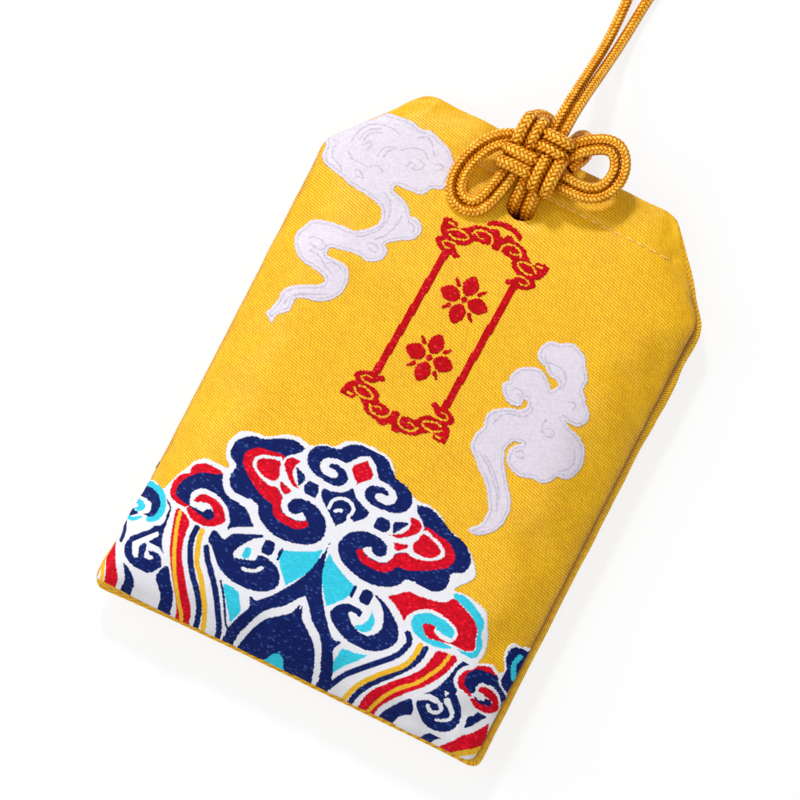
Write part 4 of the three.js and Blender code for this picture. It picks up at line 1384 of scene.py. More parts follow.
            23.1, -29.2, 23.6, -29.4, 24.6, -29.4, 24.8, -28.9, 25.6, -29, 25.9, -29.3, 25.6, -29.7, 24.8, -29.8,
            23.8, -29.7,
        )),
        (NAVY, (
            25.3, -21.2, 24.7, -22, 24.9, -23.3, 25.5, -24.3, 25.5, -25.4, 25.6, -26.1, 26.1, -26.7, 27, -27.1,
            27.5, -27.2, 31, -27.2, 31, -21, 27, -21,
        )),
        (AQUA, (26.4, -22.1, 26.1, -23.1, 26.4, -24.1, 27, -25.1), 0.7),
        (NAVY, (
            26, -31.1, 24.8, -31, 24.5, -31.4, 24.5, -31.7, 24, -31.9, 23.8, -32.3, 23.9, -32.8, 24, -33.5,
            24.2, -33.6, 24.7, -33.1, 25.3, -32.2, 25.7, -31.6,
        )),
        (NAVY, (27.7, -30.4, 27.3, -31.1, 27.1, -31.8, 27.4, -32.8, 28, -33.8, 31, -33.8, 31, -30)),
        (RED, (
            26.7, -31.7, 26.5, -32, 25.7, -33.2, 25, -34, 24.2, -34.7, 23.6, -35.7, 23.1, -36.3, 22.5, -37,
            22.2, -37.7, 22.1, -38.4, 22.1, -41, 22.1, -41, 23.7, -41, 23.7, -41, 23.7, -38.5, 24, -37.8, 24.5, -37.1,
            25.3, -36.4, 26.2, -35.8, 27, -35.1, 27.5, -34, 27.1, -32.9,
        )),
        (YELLOW, (
            27.9, -34.4, 27.4, -35, 26.7, -35.8, 25.9, -36.3, 25.1, -36.9, 24.4, -37.6, 24, -38.3, 23.9, -41,
        ), 0.8),
        (NAVY, (
            29, -34.6, 28, -35.5, 27.5, -36.2, 27, -36.7, 25.9, -37.6, 25.1, -38.3, 24.9, -41, 24.9, -41, 31, -41,
            31, -34,
        )),
        (NAVY, (
            16.1, -33.3, 17.2, -35, 16.1, -35.8, 15.5, -37.2, 15.4, -41, 13.3, -41, 13.3, -37.9, 13.8, -36.2,
            14.9, -34.5,
        )),
        (NAVY, (
            22.1, -36.2, 21.1, -36.2, 20.3, -36.3, 19.8, -36.8, 19.5, -37.5, 19.7, -38.2, 19.8, -41, 19.8, -41,
            21.1, -41, 21.1, -41, 21.1, -38.4, 21, -37.7, 21.4, -36.7,
        )),
    )
    MIRRORED: Art = (
        (NAVY, (
            0, -29.5, 0.85, -30.4, 2.35, -31.6, 3.6, -32.7, 4.5, -34.3, 5.05, -36, 5.45, -37.9, 5.8, -41, 5.8, -41,
            0, -41, 0, -41,
        )),
        (AQUA, (0, -35.9, 0, -35.9, 0.7, -36.2, 1.2, -37.2, 1.65, -37.9, 2.2, -41, 0, -41, 0, -41)),
        (NAVY, (
            0, -20.4, 0, -20.4, 0.5, -22.7, 0.95, -24.3, 1.7, -26, 2.8, -27.7, 3.65, -28.9, 5, -30.4, 5.65, -30.9,
            6.75, -30.8, 6.75, -30.8, 6.2, -32.2, 6.85, -33.7, 7.4, -35.2, 7.6, -36.6, 7.8, -41, 7.8, -41, 6.1, -41,
            6.1, -41, 6, -36.4, 5.4, -34.5, 4.7, -32.7, 3.75, -31.3, 2.1, -30, 0.75, -28.3, 0, -27.5, 0, -27.5,
        )),
        (AQUA, (
            0.5, -21.1, 0.5, -21.1, 1.75, -22, 3.9, -23, 5.3, -23.5, 5.3, -23.5, 5.2, -24.75, 4.4, -26, 3, -27.5,
            3, -27.5, 1.75, -25.8, 0.85, -24.1, 0.5, -22.5,
        )),
        (NAVY, (5.2, -23.5, 5.55, -23.5, 5.55, -24.9, 5.2, -24.9)),
        (NAVY, (6.5, -23.3, 7.8, -23.3, 7.8, -24.9, 6.5, -24.9)),
        (NAVY, (
            8.15, -10.3, 8.15, -10.3, 10.05, -10, 12.1, -10.8, 13.6, -11.6, 15.3, -12, 16.7, -13.2, 17.1, -14.4,
            16.7, -15.6, 15.5, -16.4, 15.7, -17.8, 15.2, -19, 13.85, -19.65, 11.85, -19.5, 10.75, -19.75, 10.2, -20.8,
            8.95, -21.7, 7.2, -22.25, 4.75, -22.15, 2.55, -21.4, 1.3, -20.2, 1.15, -18.9, 1.85, -17.5, 3.5, -16.5,
            5.2, -16.3, 6.75, -16.8, 7.2, -17.7, 8, -18.2, 8.15, -17.4, 9.4, -16.5, 10.4, -16.4, 10.2, -14,
            10.15, -12.7, 9.5, -11.9, 8.6, -11.2,
        )),
        (RED, (
            10.25, -12.4, 11.95, -12.6, 13.65, -12.9, 14.7, -13.7, 15.15, -14.5, 14.8, -15.8, 13.85, -16.6,
            12.2, -17.7, 10.5, -18.5, 9.1, -18.8, 8.5, -19.75, 7.3, -20.3, 5.2, -20.4, 3.95, -19.75, 3.6, -19.1,
            4.1, -18.7, 4.75, -19.2, 6, -19.35, 7.45, -19.1, 8, -18.3, 8.05, -17.6, 9.4, -16.6, 10.3, -16.4, 10.2, -14,
        )),
        (SNOW, (10.25, -13, 11.55, -13.1, 12.8, -13.5, 13.7, -14.3, 13.65, -15.2, 12.7, -16, 11.5, -16.5, 9.8, -16.5)),
        (RED, (
            10.4, -13.3, 11.6, -13.5, 12.8, -14, 13.25, -14.6, 12.9, -15.4, 11.9, -15.95, 10.7, -16.1, 10, -15.8,
            9.8, -15, 10.1, -14.2,
        )),
        (RED, (9.3, -15.5, 9.3, -15.5, 7.4, -16.1, 7.4, -16.1, 8.15, -16.9, 9.1, -16.2)),
        (SNOW, (
            7.85, -16.9, 8.1, -17.8, 7.8, -18.6, 7.15, -19.1, 6.05, -19.3, 4.85, -19.1, 4.2, -18.6, 4.6, -18.2,
            5.1, -18, 5.5, -18.5, 6.2, -18.7, 6.9, -18.4, 7.3, -17.7, 7.05, -17,
        )),
        (NAVY, (
            0, -6.65, 1.4, -6.6, 2.6, -7, 3.6, -7.9, 4.3, -8.5, 5.9, -8.8, 7.1, -9.6, 7.5, -10.8, 7, -12, 5.8, -12.7,
            4, -12.95, 2.2, -12.85, 1.4, -12, 1.45, -11.2, 2.1, -10.6, 3.2, -10.35, 4.1, -10.5, 4.3, -11, 3.5, -11.1,
            2.9, -11.4, 2.85, -11.8, 3.4, -12.2, 4.5, -12.2, 5.4, -11.6, 5.5, -10.8, 4.95, -10.1, 3.8, -9.7, 2.5, -9.6,
            2, -9.2, 1.4, -8.4, 0.75, -7.8, 0, -7.45,
        )),
        (RED, (0, -8.1, 0, -8.1, 1.5, -9.7, 0, -11.4, 0, -11.4)),
        (NAVY, (6, -14, 4.5, -13.9, 4.3, -15.5, 6, -15.4)),
        (NAVY, (8.35, -12.9, 8.35, -12.9, 6.5, -13.7, 6.9, -15.2, 6.9, -15.2)),
        (RED, (
            8.65, -12, 8.1, -12.2, 8.5, -13.3, 7.95, -14.5, 6.5, -15.5, 6.5, -15.5, 7.8, -15.3, 9.3, -14.1, 9.9, -13.1,
            9.55, -12.3,
        )),
    )
    CENTRE: Art = (
        (NAVY, (
            -3.3, -12.2, -4.1, -13.1, -5.4, -13.7, -6.8, -14, -6.5, -15, -5.4, -15.9, -4.3, -16.7, -3.1, -17.6,
            -3.1, -17.6, -2.4, -16.8, -2, -15.8, -1.2, -16, -0.3, -15.2, 0.05, -14.1, -1.1, -13.6, -2.5, -13,
        )),
        (SNOW, (-5, -15.9, -4.9, -14.8, -4.2, -14.1, -3.3, -13.9, -2.3, -14.2, -1.9, -15, -2.2, -15.8), 0.45),
        (SNOW, (-4.1, -15.9, -3.7, -15.6, -3.3, -15.5), 0.45),
    )

    @staticmethod
    def axis(y: float | Points) -> float | Points:
        """Place of the middle line, which leans a little."""
        return -3.2 + 0.043 * (-9 - y)

    def both(self, thread: Thread, spots: Row) -> list[Patch]:
        """One shape on both sides of the middle line."""
        d, y = pairs(spots).T
        offsets = (-d, d * (1 + 0.003 * d))
        return [Patch(thread, np.column_stack([self.axis(y) + offset, y])) for offset in offsets]

    def shapes(self) -> list[Patch | Line]:
        """The border's shapes in the order in which they cover each other."""
        made = [Patch(Thread.SNOW, self.GROUND), *woven(self.LEFT), *woven(self.RIGHT)]
        for thread, spots in self.MIRRORED:
            made += self.both(thread, spots)
        return made + woven(self.CENTRE)


class Clouds:
    """The two auspicious clouds, pale with fine contour lines."""

    LEFT: Row = (
        -23, 34.1, -20.9, 34.3, -18.6, 34.6, -17.1, 34.2, -15.9, 34.5, -14.6, 34.2, -12.65, 33.5, -11.7, 32.7,
        -10.9, 31.8, -10.7, 30.2, -10.8, 28.3, -12.1, 27.7, -12.5, 27, -13.2, 26.3, -15, 26.1, -16.5, 26, -16.5, 25.2,
        -15, 24.8, -13.8, 24.1, -13, 23.2, -12.1, 23.3, -11.1, 22.7, -10.8, 21.8, -11.2, 20.6, -12.3, 19.9, -13, 19.5,
        -14.2, 18.4, -13.6, 17.7, -13.6, 16.6, -14.4, 15.7, -15.5, 15.3, -17.1, 15.5, -19, 15.1, -20.5, 14.75,
        -20.6, 13.9, -20, 13.6, -18.2, 13.7, -17.1, 13.2, -16.4, 11.8, -16.4, 10.2, -17.1, 8.9, -18.6, 7.7,
        -20.5, 7.25, -21.6, 6.6, -21.5, 5, -22.8, 3.6, -22.8, 2.3, -22.8, 2.3, -24.2, 3.3, -23.9, 4.2, -23.6, 5.8,
        -23.7, 6.6, -23.4, 7.3, -22.65, 8.1, -21.3, 8.9, -19.8, 9.65, -19.2, 10.3, -19.6, 10.9, -21.3, 11.3, -23, 11.5,
        -24.4, 12.3, -25.3, 13.5, -25.5, 14.7, -25, 15.8, -24.4, 17, -23, 17.6, -20.9, 18, -19, 18.1, -17.8, 18.8,
        -16.7, 19.85, -16.3, 21, -16.9, 22.2, -17.8, 22.7, -20, 23.15, -22.1, 23.3, -23.2, 23.7, -24.8, 24,
        -26.3, 24.4, -27.2, 25.2, -27.4, 26.6, -28.2, 28.3, -28, 30.5, -26.6, 32.8, -24.6, 34,
    )
    RIGHT: Row = (
        13.6, 17.6, 12.2, 16.9, 10.9, 16.6, 10.2, 15.4, 10.2, 14.7, 10.4, 14.1, 11.1, 13.5, 11.9, 13.3, 12.5, 12.8,
        13.2, 12.4, 14.2, 12.3, 14.5, 11.9, 14.3, 11.3, 14, 11, 13.5, 11.5, 12.7, 12.2, 12, 12.6, 11, 12.7, 9.9, 12.3,
        9.1, 11.8, 8.6, 11, 8.3, 10.1, 8.5, 9.6, 8, 9.1, 8.1, 8.3, 8.7, 7.6, 9.5, 7, 10.5, 6.9, 11.3, 7.2, 11.5, 7.8,
        11.3, 8.2, 11.8, 8.3, 12.1, 7.8, 11.9, 7.1, 11.2, 6.7, 10.1, 6.4, 9.1, 5.8, 8.2, 5, 7.9, 4, 8.2, 2.7, 7.8, 1.6,
        7.7, 0.4, 8, -0.5, 9.1, -1.5, 10.1, -2.5, 11.5, -3.5, 12.4, -4.5, 13.2, -5.7, 13.8, -6.7, 13.9, -7.7,
        13.7, -8.9, 13, -9.7, 12.6, -10.2, 12.6, -10.2, 13.2, -10.5, 14.2, -10.3, 15.3, -9.5, 16.1, -8.4, 16.5, -7.1,
        16.4, -5.5, 15.7, -4, 14.9, -3, 13.9, -1.7, 13, -0.5, 12.5, 0.5, 12.2, 1.4, 12.4, 2.2, 12.9, 2.8, 13.8, 2.9,
        13.8, 2.9, 13.2, 2.5, 12.7, 1.7, 12.7, 1, 13, 0.1, 13.9, -0.7, 15.1, -1, 16.2, -0.9, 17.2, -0.5, 18.2, -0.6,
        19.3, 0, 19.9, 1.1, 21, 1.3, 21.8, 2.1, 22.2, 3.7, 21.9, 5.2, 21.2, 6.3, 19.9, 7.2, 18.5, 7.6, 17.3, 8.2,
        17.3, 8.2, 18.7, 8, 19.5, 8.3, 20.1, 9.2, 20, 10.3, 19.3, 11.1, 18.7, 11.5, 18.6, 12, 17.8, 12.7, 17.8, 13.9,
        17.2, 15.1, 16.6, 15.8, 16.1, 16.7, 14.9, 17.4,
    )

    CURLS: tuple[Row, ...] = (
        (-24.58, 28.5, -24.48, 29.85, -24, 31, -23.04, 31.96, -21.69, 32.44, -20.35, 32.54, -19.19, 32.15),
        (-23.8, 29.27, -23.6, 30.23, -23.04, 31.19, -21.88, 31.87),
        (-23.04, 28.88, -23.13, 29.85, -22.65, 30.8, -21.5, 31.38),
        (-23.04, 28.69, -22.46, 29.65, -21.98, 29.37, -22.27, 28.6),
        (-20.54, 28.5, -20.35, 29.65, -19.58, 30.23, -18.23, 30.4, -17.2, 31.2, -15.6, 31.7, -14.4, 31),
        (-19.87, 28.5, -19.67, 29.46, -19.19, 30.04),
        (-16.5, 28.88, -16.31, 29.56, -15.54, 29.46, -15.73, 28.88, -14.77, 29.27, -14.58, 30.04, -15.54, 30.42),
        (-16.88, 32.92, -15.92, 33.5, -14.96, 33.12, -14.38, 32.35, -13.81, 31.77),
        (-13.33, 30.7, -12.65, 31.1, -12.08, 30.7, -12.56, 30.23),
        (-26.88, 27.73, -26.1, 27.83, -26.3, 26.58, -25.73, 25.6, -24.58, 25.13, -24, 24.56),
        (-24.38, 27.25, -23.42, 26.58, -22.08, 26.58, -21.1, 26.58, -20, 27.2, -19, 26.8),
        (-22.46, 25.42, -21.88, 25.6, -21.3, 25.3, -20.92, 24.85, -21.7, 24.75),
        (-17.65, 24.46, -16.5, 23.88, -15.73, 22.73, -15.54, 21.2, -15.92, 19.65, -17.08, 18.3, -18.23, 17.54),
        (-14, 22.6, -14.2, 21, -14.8, 19.4, -15.8, 18.4),
        (-12.9, 22.4, -12, 22.1, -11.7, 21.4),
        (-16.3, 17.54, -15.54, 17.73, -14.77, 17.35, -15.15, 16.77, -16.1, 16.96),
        (-23.6, 14.65, -23.04, 15.13, -21.88, 15.04, -21.1, 14.46, -21.7, 13.88, -23.2, 14.08),
        (-20.15, 12.54, -19.58, 13.02, -18.6, 13.1, -17.65, 12.63),
        (-22.85, 13.3, -21.3, 13.1, -20.15, 12.35, -18.8, 11.8),
        (-18.2, 9, -19.6, 8.3, -21.2, 7.6, -22.4, 6.6, -22.6, 5.4),
        (9.3, -0.5, 11.2, -1.7, 12.8, -3.2, 14.1, -4.8, 14.9, -6.5),
        (10.1, -0.5, 11.8, -1.7, 13.5, -3.4, 14.5, -5),
        (9.3, 3.5, 9.5, 4.7, 10.3, 5.6, 11.8, 6, 12.6, 6.4, 13, 7.2, 12.8, 7.9),
        (9.5, 8.7, 9.9, 9.1, 10.7, 9.1, 11, 8.6, 10.3, 8.5),
        (15.2, 7.2, 15.1, 6.2, 15.7, 5.4, 16.6, 5.3, 17, 5.8, 16.6, 6.4, 15.8, 6.2),
        (13.5, 1.6, 14.1, 2.1, 14.7, 1.8, 14.6, 1.2, 14, 1.1),
        (20.3, 5.2, 21, 3.9, 20.7, 2.7, 19.7, 1.8),
        (11.2, 14.7, 11.8, 14, 13, 14.1, 14.3, 13.9, 15.1, 13.1, 15.3, 11.8),
        (16.8, 10.6, 17.4, 10.8, 17.8, 10.4, 17.6, 9.7),
    )

    def shapes(self) -> list[Patch | Line]:
        """Both clouds, their contour lines and their curls."""
        return [
            Patch(Thread.WHITE, self.LEFT, 0.42),
            Patch(Thread.WHITE, self.RIGHT, 0.42),
            *(Line(Thread.CONTOUR, spots, 0.2) for spots in self.CURLS),
        ]


class Cartouche:
    """The red scroll frame, with a generic rosette in each half."""

    CREST: Row = (
        -0.2, 25.94, 0.47, 26.04, 1.94, 26.25, 2.98, 26.19, 3.79, 25.9, 4.19, 25.46, 4.68, 25.08, 5.24, 24.71,
        5.73, 24.54, 5.85, 24.9, 6.1, 25.2, 6.99, 25.29, 7.77, 25.17, 7.84, 24.69, 7.71, 23.75, 7.36, 23.17,
        6.86, 22.8, 7.3, 22.46, 7.44, 22.04, 7.05, 21.56, 6.4, 21.15, 5.65, 20.92, 4.72, 21.04, 4.02, 20.77,
        3.67, 20.92, 3.49, 21.35, 4.08, 21.63, 4.48, 22.08, 4.92, 22.38, 4.1, 22.67, 3.33, 23.08, 2.96, 23.65,
        2.73, 24, 2, 24.06, 1.25, 24.25, 0.64, 24.42, 0.46, 24.2, -0.3, 24.2,
    )
    CAP: Row = (
        -0.1, 27.95, 0.7, 27.92, 1.94, 27.6, 2.5, 27.1, 2.52, 26.75, 2.25, 26.56, 1.88, 26.86, 0.85, 27.2, -0.1, 27.28,
    )
    BUMP: Row = (1.98, 25.94, 1.64, 26.42, 1.14, 26.71, 0.6, 26.56, 0.33, 26.15, 0.56, 25.94)
    GAPS: tuple[tuple[Row, float], ...] = (
        ((3.58, 24.79, 3.4, 25.25, 2.84, 25.63, 2.02, 25.77, 1.21, 25.56, 0.76, 25, 0.8, 24.42), 0.3),
        ((3.3, 25.04, 2.9, 24.79, 2.37, 24.69, 1.92, 24.79), 0.2),
        ((
            6.56, 23.69, 6.23, 24.06, 5.67, 24.33, 4.95, 24.42, 4.25, 24.33, 3.77, 24.06, 3.92, 23.65, 4.46, 23.38,
            5.34, 23.17, 6.13, 23.29,
        ), 0.27),
        ((6.95, 24.71, 6.2, 24.67), 0.28),
        ((6.46, 22.13, 6.06, 22.38, 5.3, 22.5, 4.5, 22.46), 0.25),
        ((6.4, 22.13, 6.29, 21.83, 5.8, 21.6, 5.2, 21.63), 0.22),
    )
    TURNED = 23.52
    PETAL: Row = (0.6, 0, 1.2, 0.85, 2.2, 1.05, 3.05, 0.55, 3.4, 0, 3.05, -0.55, 2.2, -1.05, 1.2, -0.85)

    @staticmethod
    def axis(y: float | Points) -> float | Points:
        """Place of the frame's middle line, which leans a little."""
        return -1.0625 - 0.0664 * (25.21 - y)

    def rosette(self, y: float) -> list[Patch | Line]:
        """A four-petalled flower with a lozenge and four leaves, round a place on the middle line."""
        x = self.axis(y)
        shapes: list[Patch | Line] = []
        for cos, sin in ((1, 0), (0, 1), (-1, 0), (0, -1)):
            a, b = pairs(self.PETAL).T
            petal = np.column_stack([x + a * cos - b * sin, y + a * sin + b * cos])
            shapes.append(Patch(Thread.SCARLET, petal))
            a, b = 1.5 * (cos - sin), 1.5 * (cos + sin)
            shapes.append(Line(Thread.SCARLET, (x + a, y + b, x + a * 1.4, y + b * 1.4), 0.6, 0.35))
        shapes.append(Patch(Thread.SCARLET, (x + 0.45, y, x, y + 0.45, x - 0.45, y, x, y - 0.45)))
        return shapes

    def placed(self, spots: Row, side: int, low: bool) -> Points:
        """Crest points on one side of the middle line, at the top or turned over to the bottom."""
        d, y = pairs(spots).T
        y = self.TURNED - y if low else y
        wide = 1.0 if side < 0 else 0.97
        return np.column_stack([self.axis(y) + side * d * wide, y])

    def shapes(self) -> list[Patch | Line]:
        """The bars, both crests and the rosettes."""
        red = Thread.SCARLET
        made: list[Patch | Line] = [
            Line(red, (-6.63, 21.1, -7.14, 11.7, -7.66, 2.3), 1.02),
            Line(red, (3.43, 21, 3.01, 11.6, 2.59, 2.3), 1.0),
        ]
        for side in (-1, 1):
            made.append(Patch(red, self.placed(self.CAP, side, False)))
            for low in (False, True):
                made.append(Patch(red, self.placed(self.CREST, side, low)))
                made.append(Patch(red, self.placed(self.BUMP, side, low)))
                made += [Line(None, self.placed(spots, side, low), width) for spots, width in self.GAPS]
        return made + self.rosette(16.4) + self.rosette(7.6)


@dataclass
class Figure:
    """A raised woven figure that lies on the front panel, one cell to each thread crossing."""

    name: str
    shapes: list[Patch | Line]
    low: tuple[float, float]
    high: tuple[float, float]
    cell: float = 0.16
    rise: float = 0.07
    wall: float = 0.15
    seam: float = SEAM_HEIGHT
    lean: tuple[float, float] = (0.1405, -0.0699)
    flat: tuple[float, float] = (16.0, 26.0)
    run: float = 12.0
    depth: float = 5.1

    def unroll(self, steps: Points, flat: float) -> Points:
        """Plan places of steps measured along the cloth, which bends down beyond the flat part."""
        turn = np.linspace(0, np.pi / 2, 400)
        over, down = self.run * np.sin(turn), self.depth * (1 - np.cos(turn))
        way = np.concatenate([[0], np.cumsum(np.hypot(np.diff(over), np.diff(down)))])
        beyond = np.interp(np.abs(steps) - flat, way, over)
        return np.where(np.abs(steps) <= flat, steps, np.sign(steps) * (flat + beyond))

    def lay(self, panel: Object) -> tuple[Points, Points, Points, tuple[int, int]]:
        """Drops a grid of cell corners on the panel.

        Args:
            panel: the front panel.

        Returns:
            Corner places, their normals (both with gaps as not-a-number), flat places, grid size.
        """
        tree = face_tree(panel.data)
        across = np.arange(self.low[0], self.high[0], self.cell)
        along = np.arange(self.low[1], self.high[1], self.cell)
        xs = self.unroll(across, self.flat[0])
        ys = np.where(along < 0, self.unroll(along, self.flat[1]), along)
        places = np.full((len(ys), len(xs), 3), np.nan)
        normals = np.full((len(ys), len(xs), 3), np.nan)
        down = Vector((0, 0, -1))
        for j, y in enumerate(ys):
            for i, x in enumerate(xs):
                hit, normal, _, _ = tree.ray_cast(Vector((x, y, 30)), down)
                if hit is not None and hit.z > self.seam + 0.2:
                    places[j, i], normals[j, i] = hit, normal
        flats = np.stack(np.meshgrid(across, along), axis=-1)
        return places.reshape(-1, 3), normals.reshape(-1, 3), flats.reshape(-1, 2), (len(ys), len(xs))

    def colour_cells(self, places: Points, size: tuple[int, int]) -> Points:
        """The thread number of each cell, or -1 where the ground shows."""
        rows, columns = size
        grid = places.reshape(rows, columns, 3)
        middle = (grid[:-1, :-1] + grid[1:, :-1] + grid[:-1, 1:] + grid[1:, 1:]).reshape(-1, 3) / 4
        lift = middle[:, 2] - self.seam
        u, v = middle[:, 0] - self.lean[0] * lift, middle[:, 1] - self.lean[1] * lift
        colours = np.full(len(middle), -1)
        known = np.flatnonzero(~np.isnan(u))
        part = colours[known]
        for shape in self.shapes:
            shape.paint(u[known], v[known], part)
        colours[known] = part
        return colours

    def build(self, panel: Object, finish: Material) -> Object:
        """The figure as one mesh with a colour for each cell and a small wall round its edges.

        Args:
            panel: the front panel.
            finish: the figures' material.

        Returns:
            The piece.
        """
        places, normals, flats, size = self.lay(panel)
        colours = self.colour_cells(places, size)
        rows, columns = size
        chosen = np.flatnonzero(colours >= 0)
        j, i = chosen // (columns - 1), chosen % (columns - 1)
        first = j * columns + i
        quads = np.column_stack([first, first + 1, first + columns + 1, first + columns])
        shades = colours[chosen]
        edges: dict[tuple[int, int], int] = {}
        for face, quad in enumerate(quads.tolist()):
            for a, b in zip(quad, quad[1:] + quad[:1]):
                if (b, a) in edges:
                    del edges[b, a]
                else:
                    edges[a, b] = face
        rims = sorted({p for edge in edges for p in edge})
        used = np.unique(quads)
        number = np.full(len(places), -1)
        number[used] = np.arange(len(used))
        foot = {p: len(used) + k for k, p in enumerate(rims)}
        top = places[used] + normals[used] * self.rise
        base = places[rims] - normals[rims] * self.wall
        faces = number[quads].tolist()
        for (a, b), face in edges.items():
            faces.append([number[b], number[a], foot[a], foot[b]])
        shades = np.concatenate([shades, [shades[face] for face in edges.values()]]).astype(int)
        made = add_mesh(self.name, np.vstack([top, base]), faces)
        made.data.shade_flat()
        made.data.polygons.foreach_set("use_smooth", np.arange(len(faces)) < len(quads))
        palette = np.array([thread.value for thread in Thread], np.float32)
        colour = made.data.color_attributes.new("thread", "FLOAT_COLOR", "CORNER")
        colour.data.foreach_set("color", np.repeat(palette[shades], 4, axis=0).ravel())
        write_pattern(made.data, np.vstack([flats[used], flats[rims]]))
        made.data.materials.append(finish)
        LOG.info("%s: %d cells", self.name, len(quads))
        return made


@dataclass
class PocketLayer:
    """A soft layer inside one half: wadding as a thick pad, or lining as a single sheet."""

    name: str
    node: str
    half: Panel
    inset: float
    under: float
    top: float
    thickness: float = 0.0

    def outline(self) -> Outline:
        """The pocket's outline, rounder at its corners than the bag's."""
        return replace(self.half.outline, cut_across=10.0, cut_down=10.0, reach=2.0, spacing=2.6)

    def sheet(self, extra: float) -> tuple[Points, list]:
        """Points and faces of the layer's face, moved further in by an extra depth."""
        outline = self.outline()
        low = -outline.height / 2
        rim = 0.25
        rings = []
        for turn in np.radians((4, 18, 32, 46, 60, 75, 90)):
            inset = self.inset + extra * 0.5 + (self.half.edge_run - self.inset) * (1 - math.cos(turn))
            plan = outline.ring(inset)
            shorter = self.top - low - 2 * inset
            plan[:, 1] = low + inset + (plan[:, 1] - low - inset) * shorter / (-2 * low - 2 * inset)
            depth = self.half.local_depth(plan[:, 1]) - self.under - extra
            rings.append(np.column_stack([plan, rim + np.maximum(depth - rim, 0.05) * math.sin(turn)]))
        crown = rings[-1]
        middle = crown.copy()
        middle[:, 0] *= 0.02
        middle[:, 1] = np.clip(middle[:, 1], -14, 0)
        for share in (0.33, 0.66, 1.0):
            rings.append(crown + (middle - crown) * share)
        return np.vstack(rings), ring_faces(len(rings), len(crown))

    def build(self, finish: Material, slot: str) -> Object:
        """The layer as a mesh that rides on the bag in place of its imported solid."""
        points, faces = self.sheet(0.0)
        if self.thickness:
            inner, more = self.sheet(self.thickness)
            count = len(points)
            around = len(self.outline().ring(0.0))
            faces += [[v + count for v in reversed(face)] for face in more]
            faces += [[i + count, (i + 1) % around + count, (i + 1) % around, i] for i in range(around)]
            points = np.vstack([points, inner])
        if self.half.up < 0:
            faces = [face[::-1] for face in faces]
        points[:, 2] = self.half.seam + self.half.up * points[:, 2]
        made = add_mesh(self.name, points, faces)
        weld = made.modifiers.new("weld", "WELD")
        weld.merge_threshold = 2e-5
        bake_modifiers(made)
        made.data.shade_smooth()
        made.data.materials.append(finish)
        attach(made, "bag")
        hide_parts(self.node)
        return made


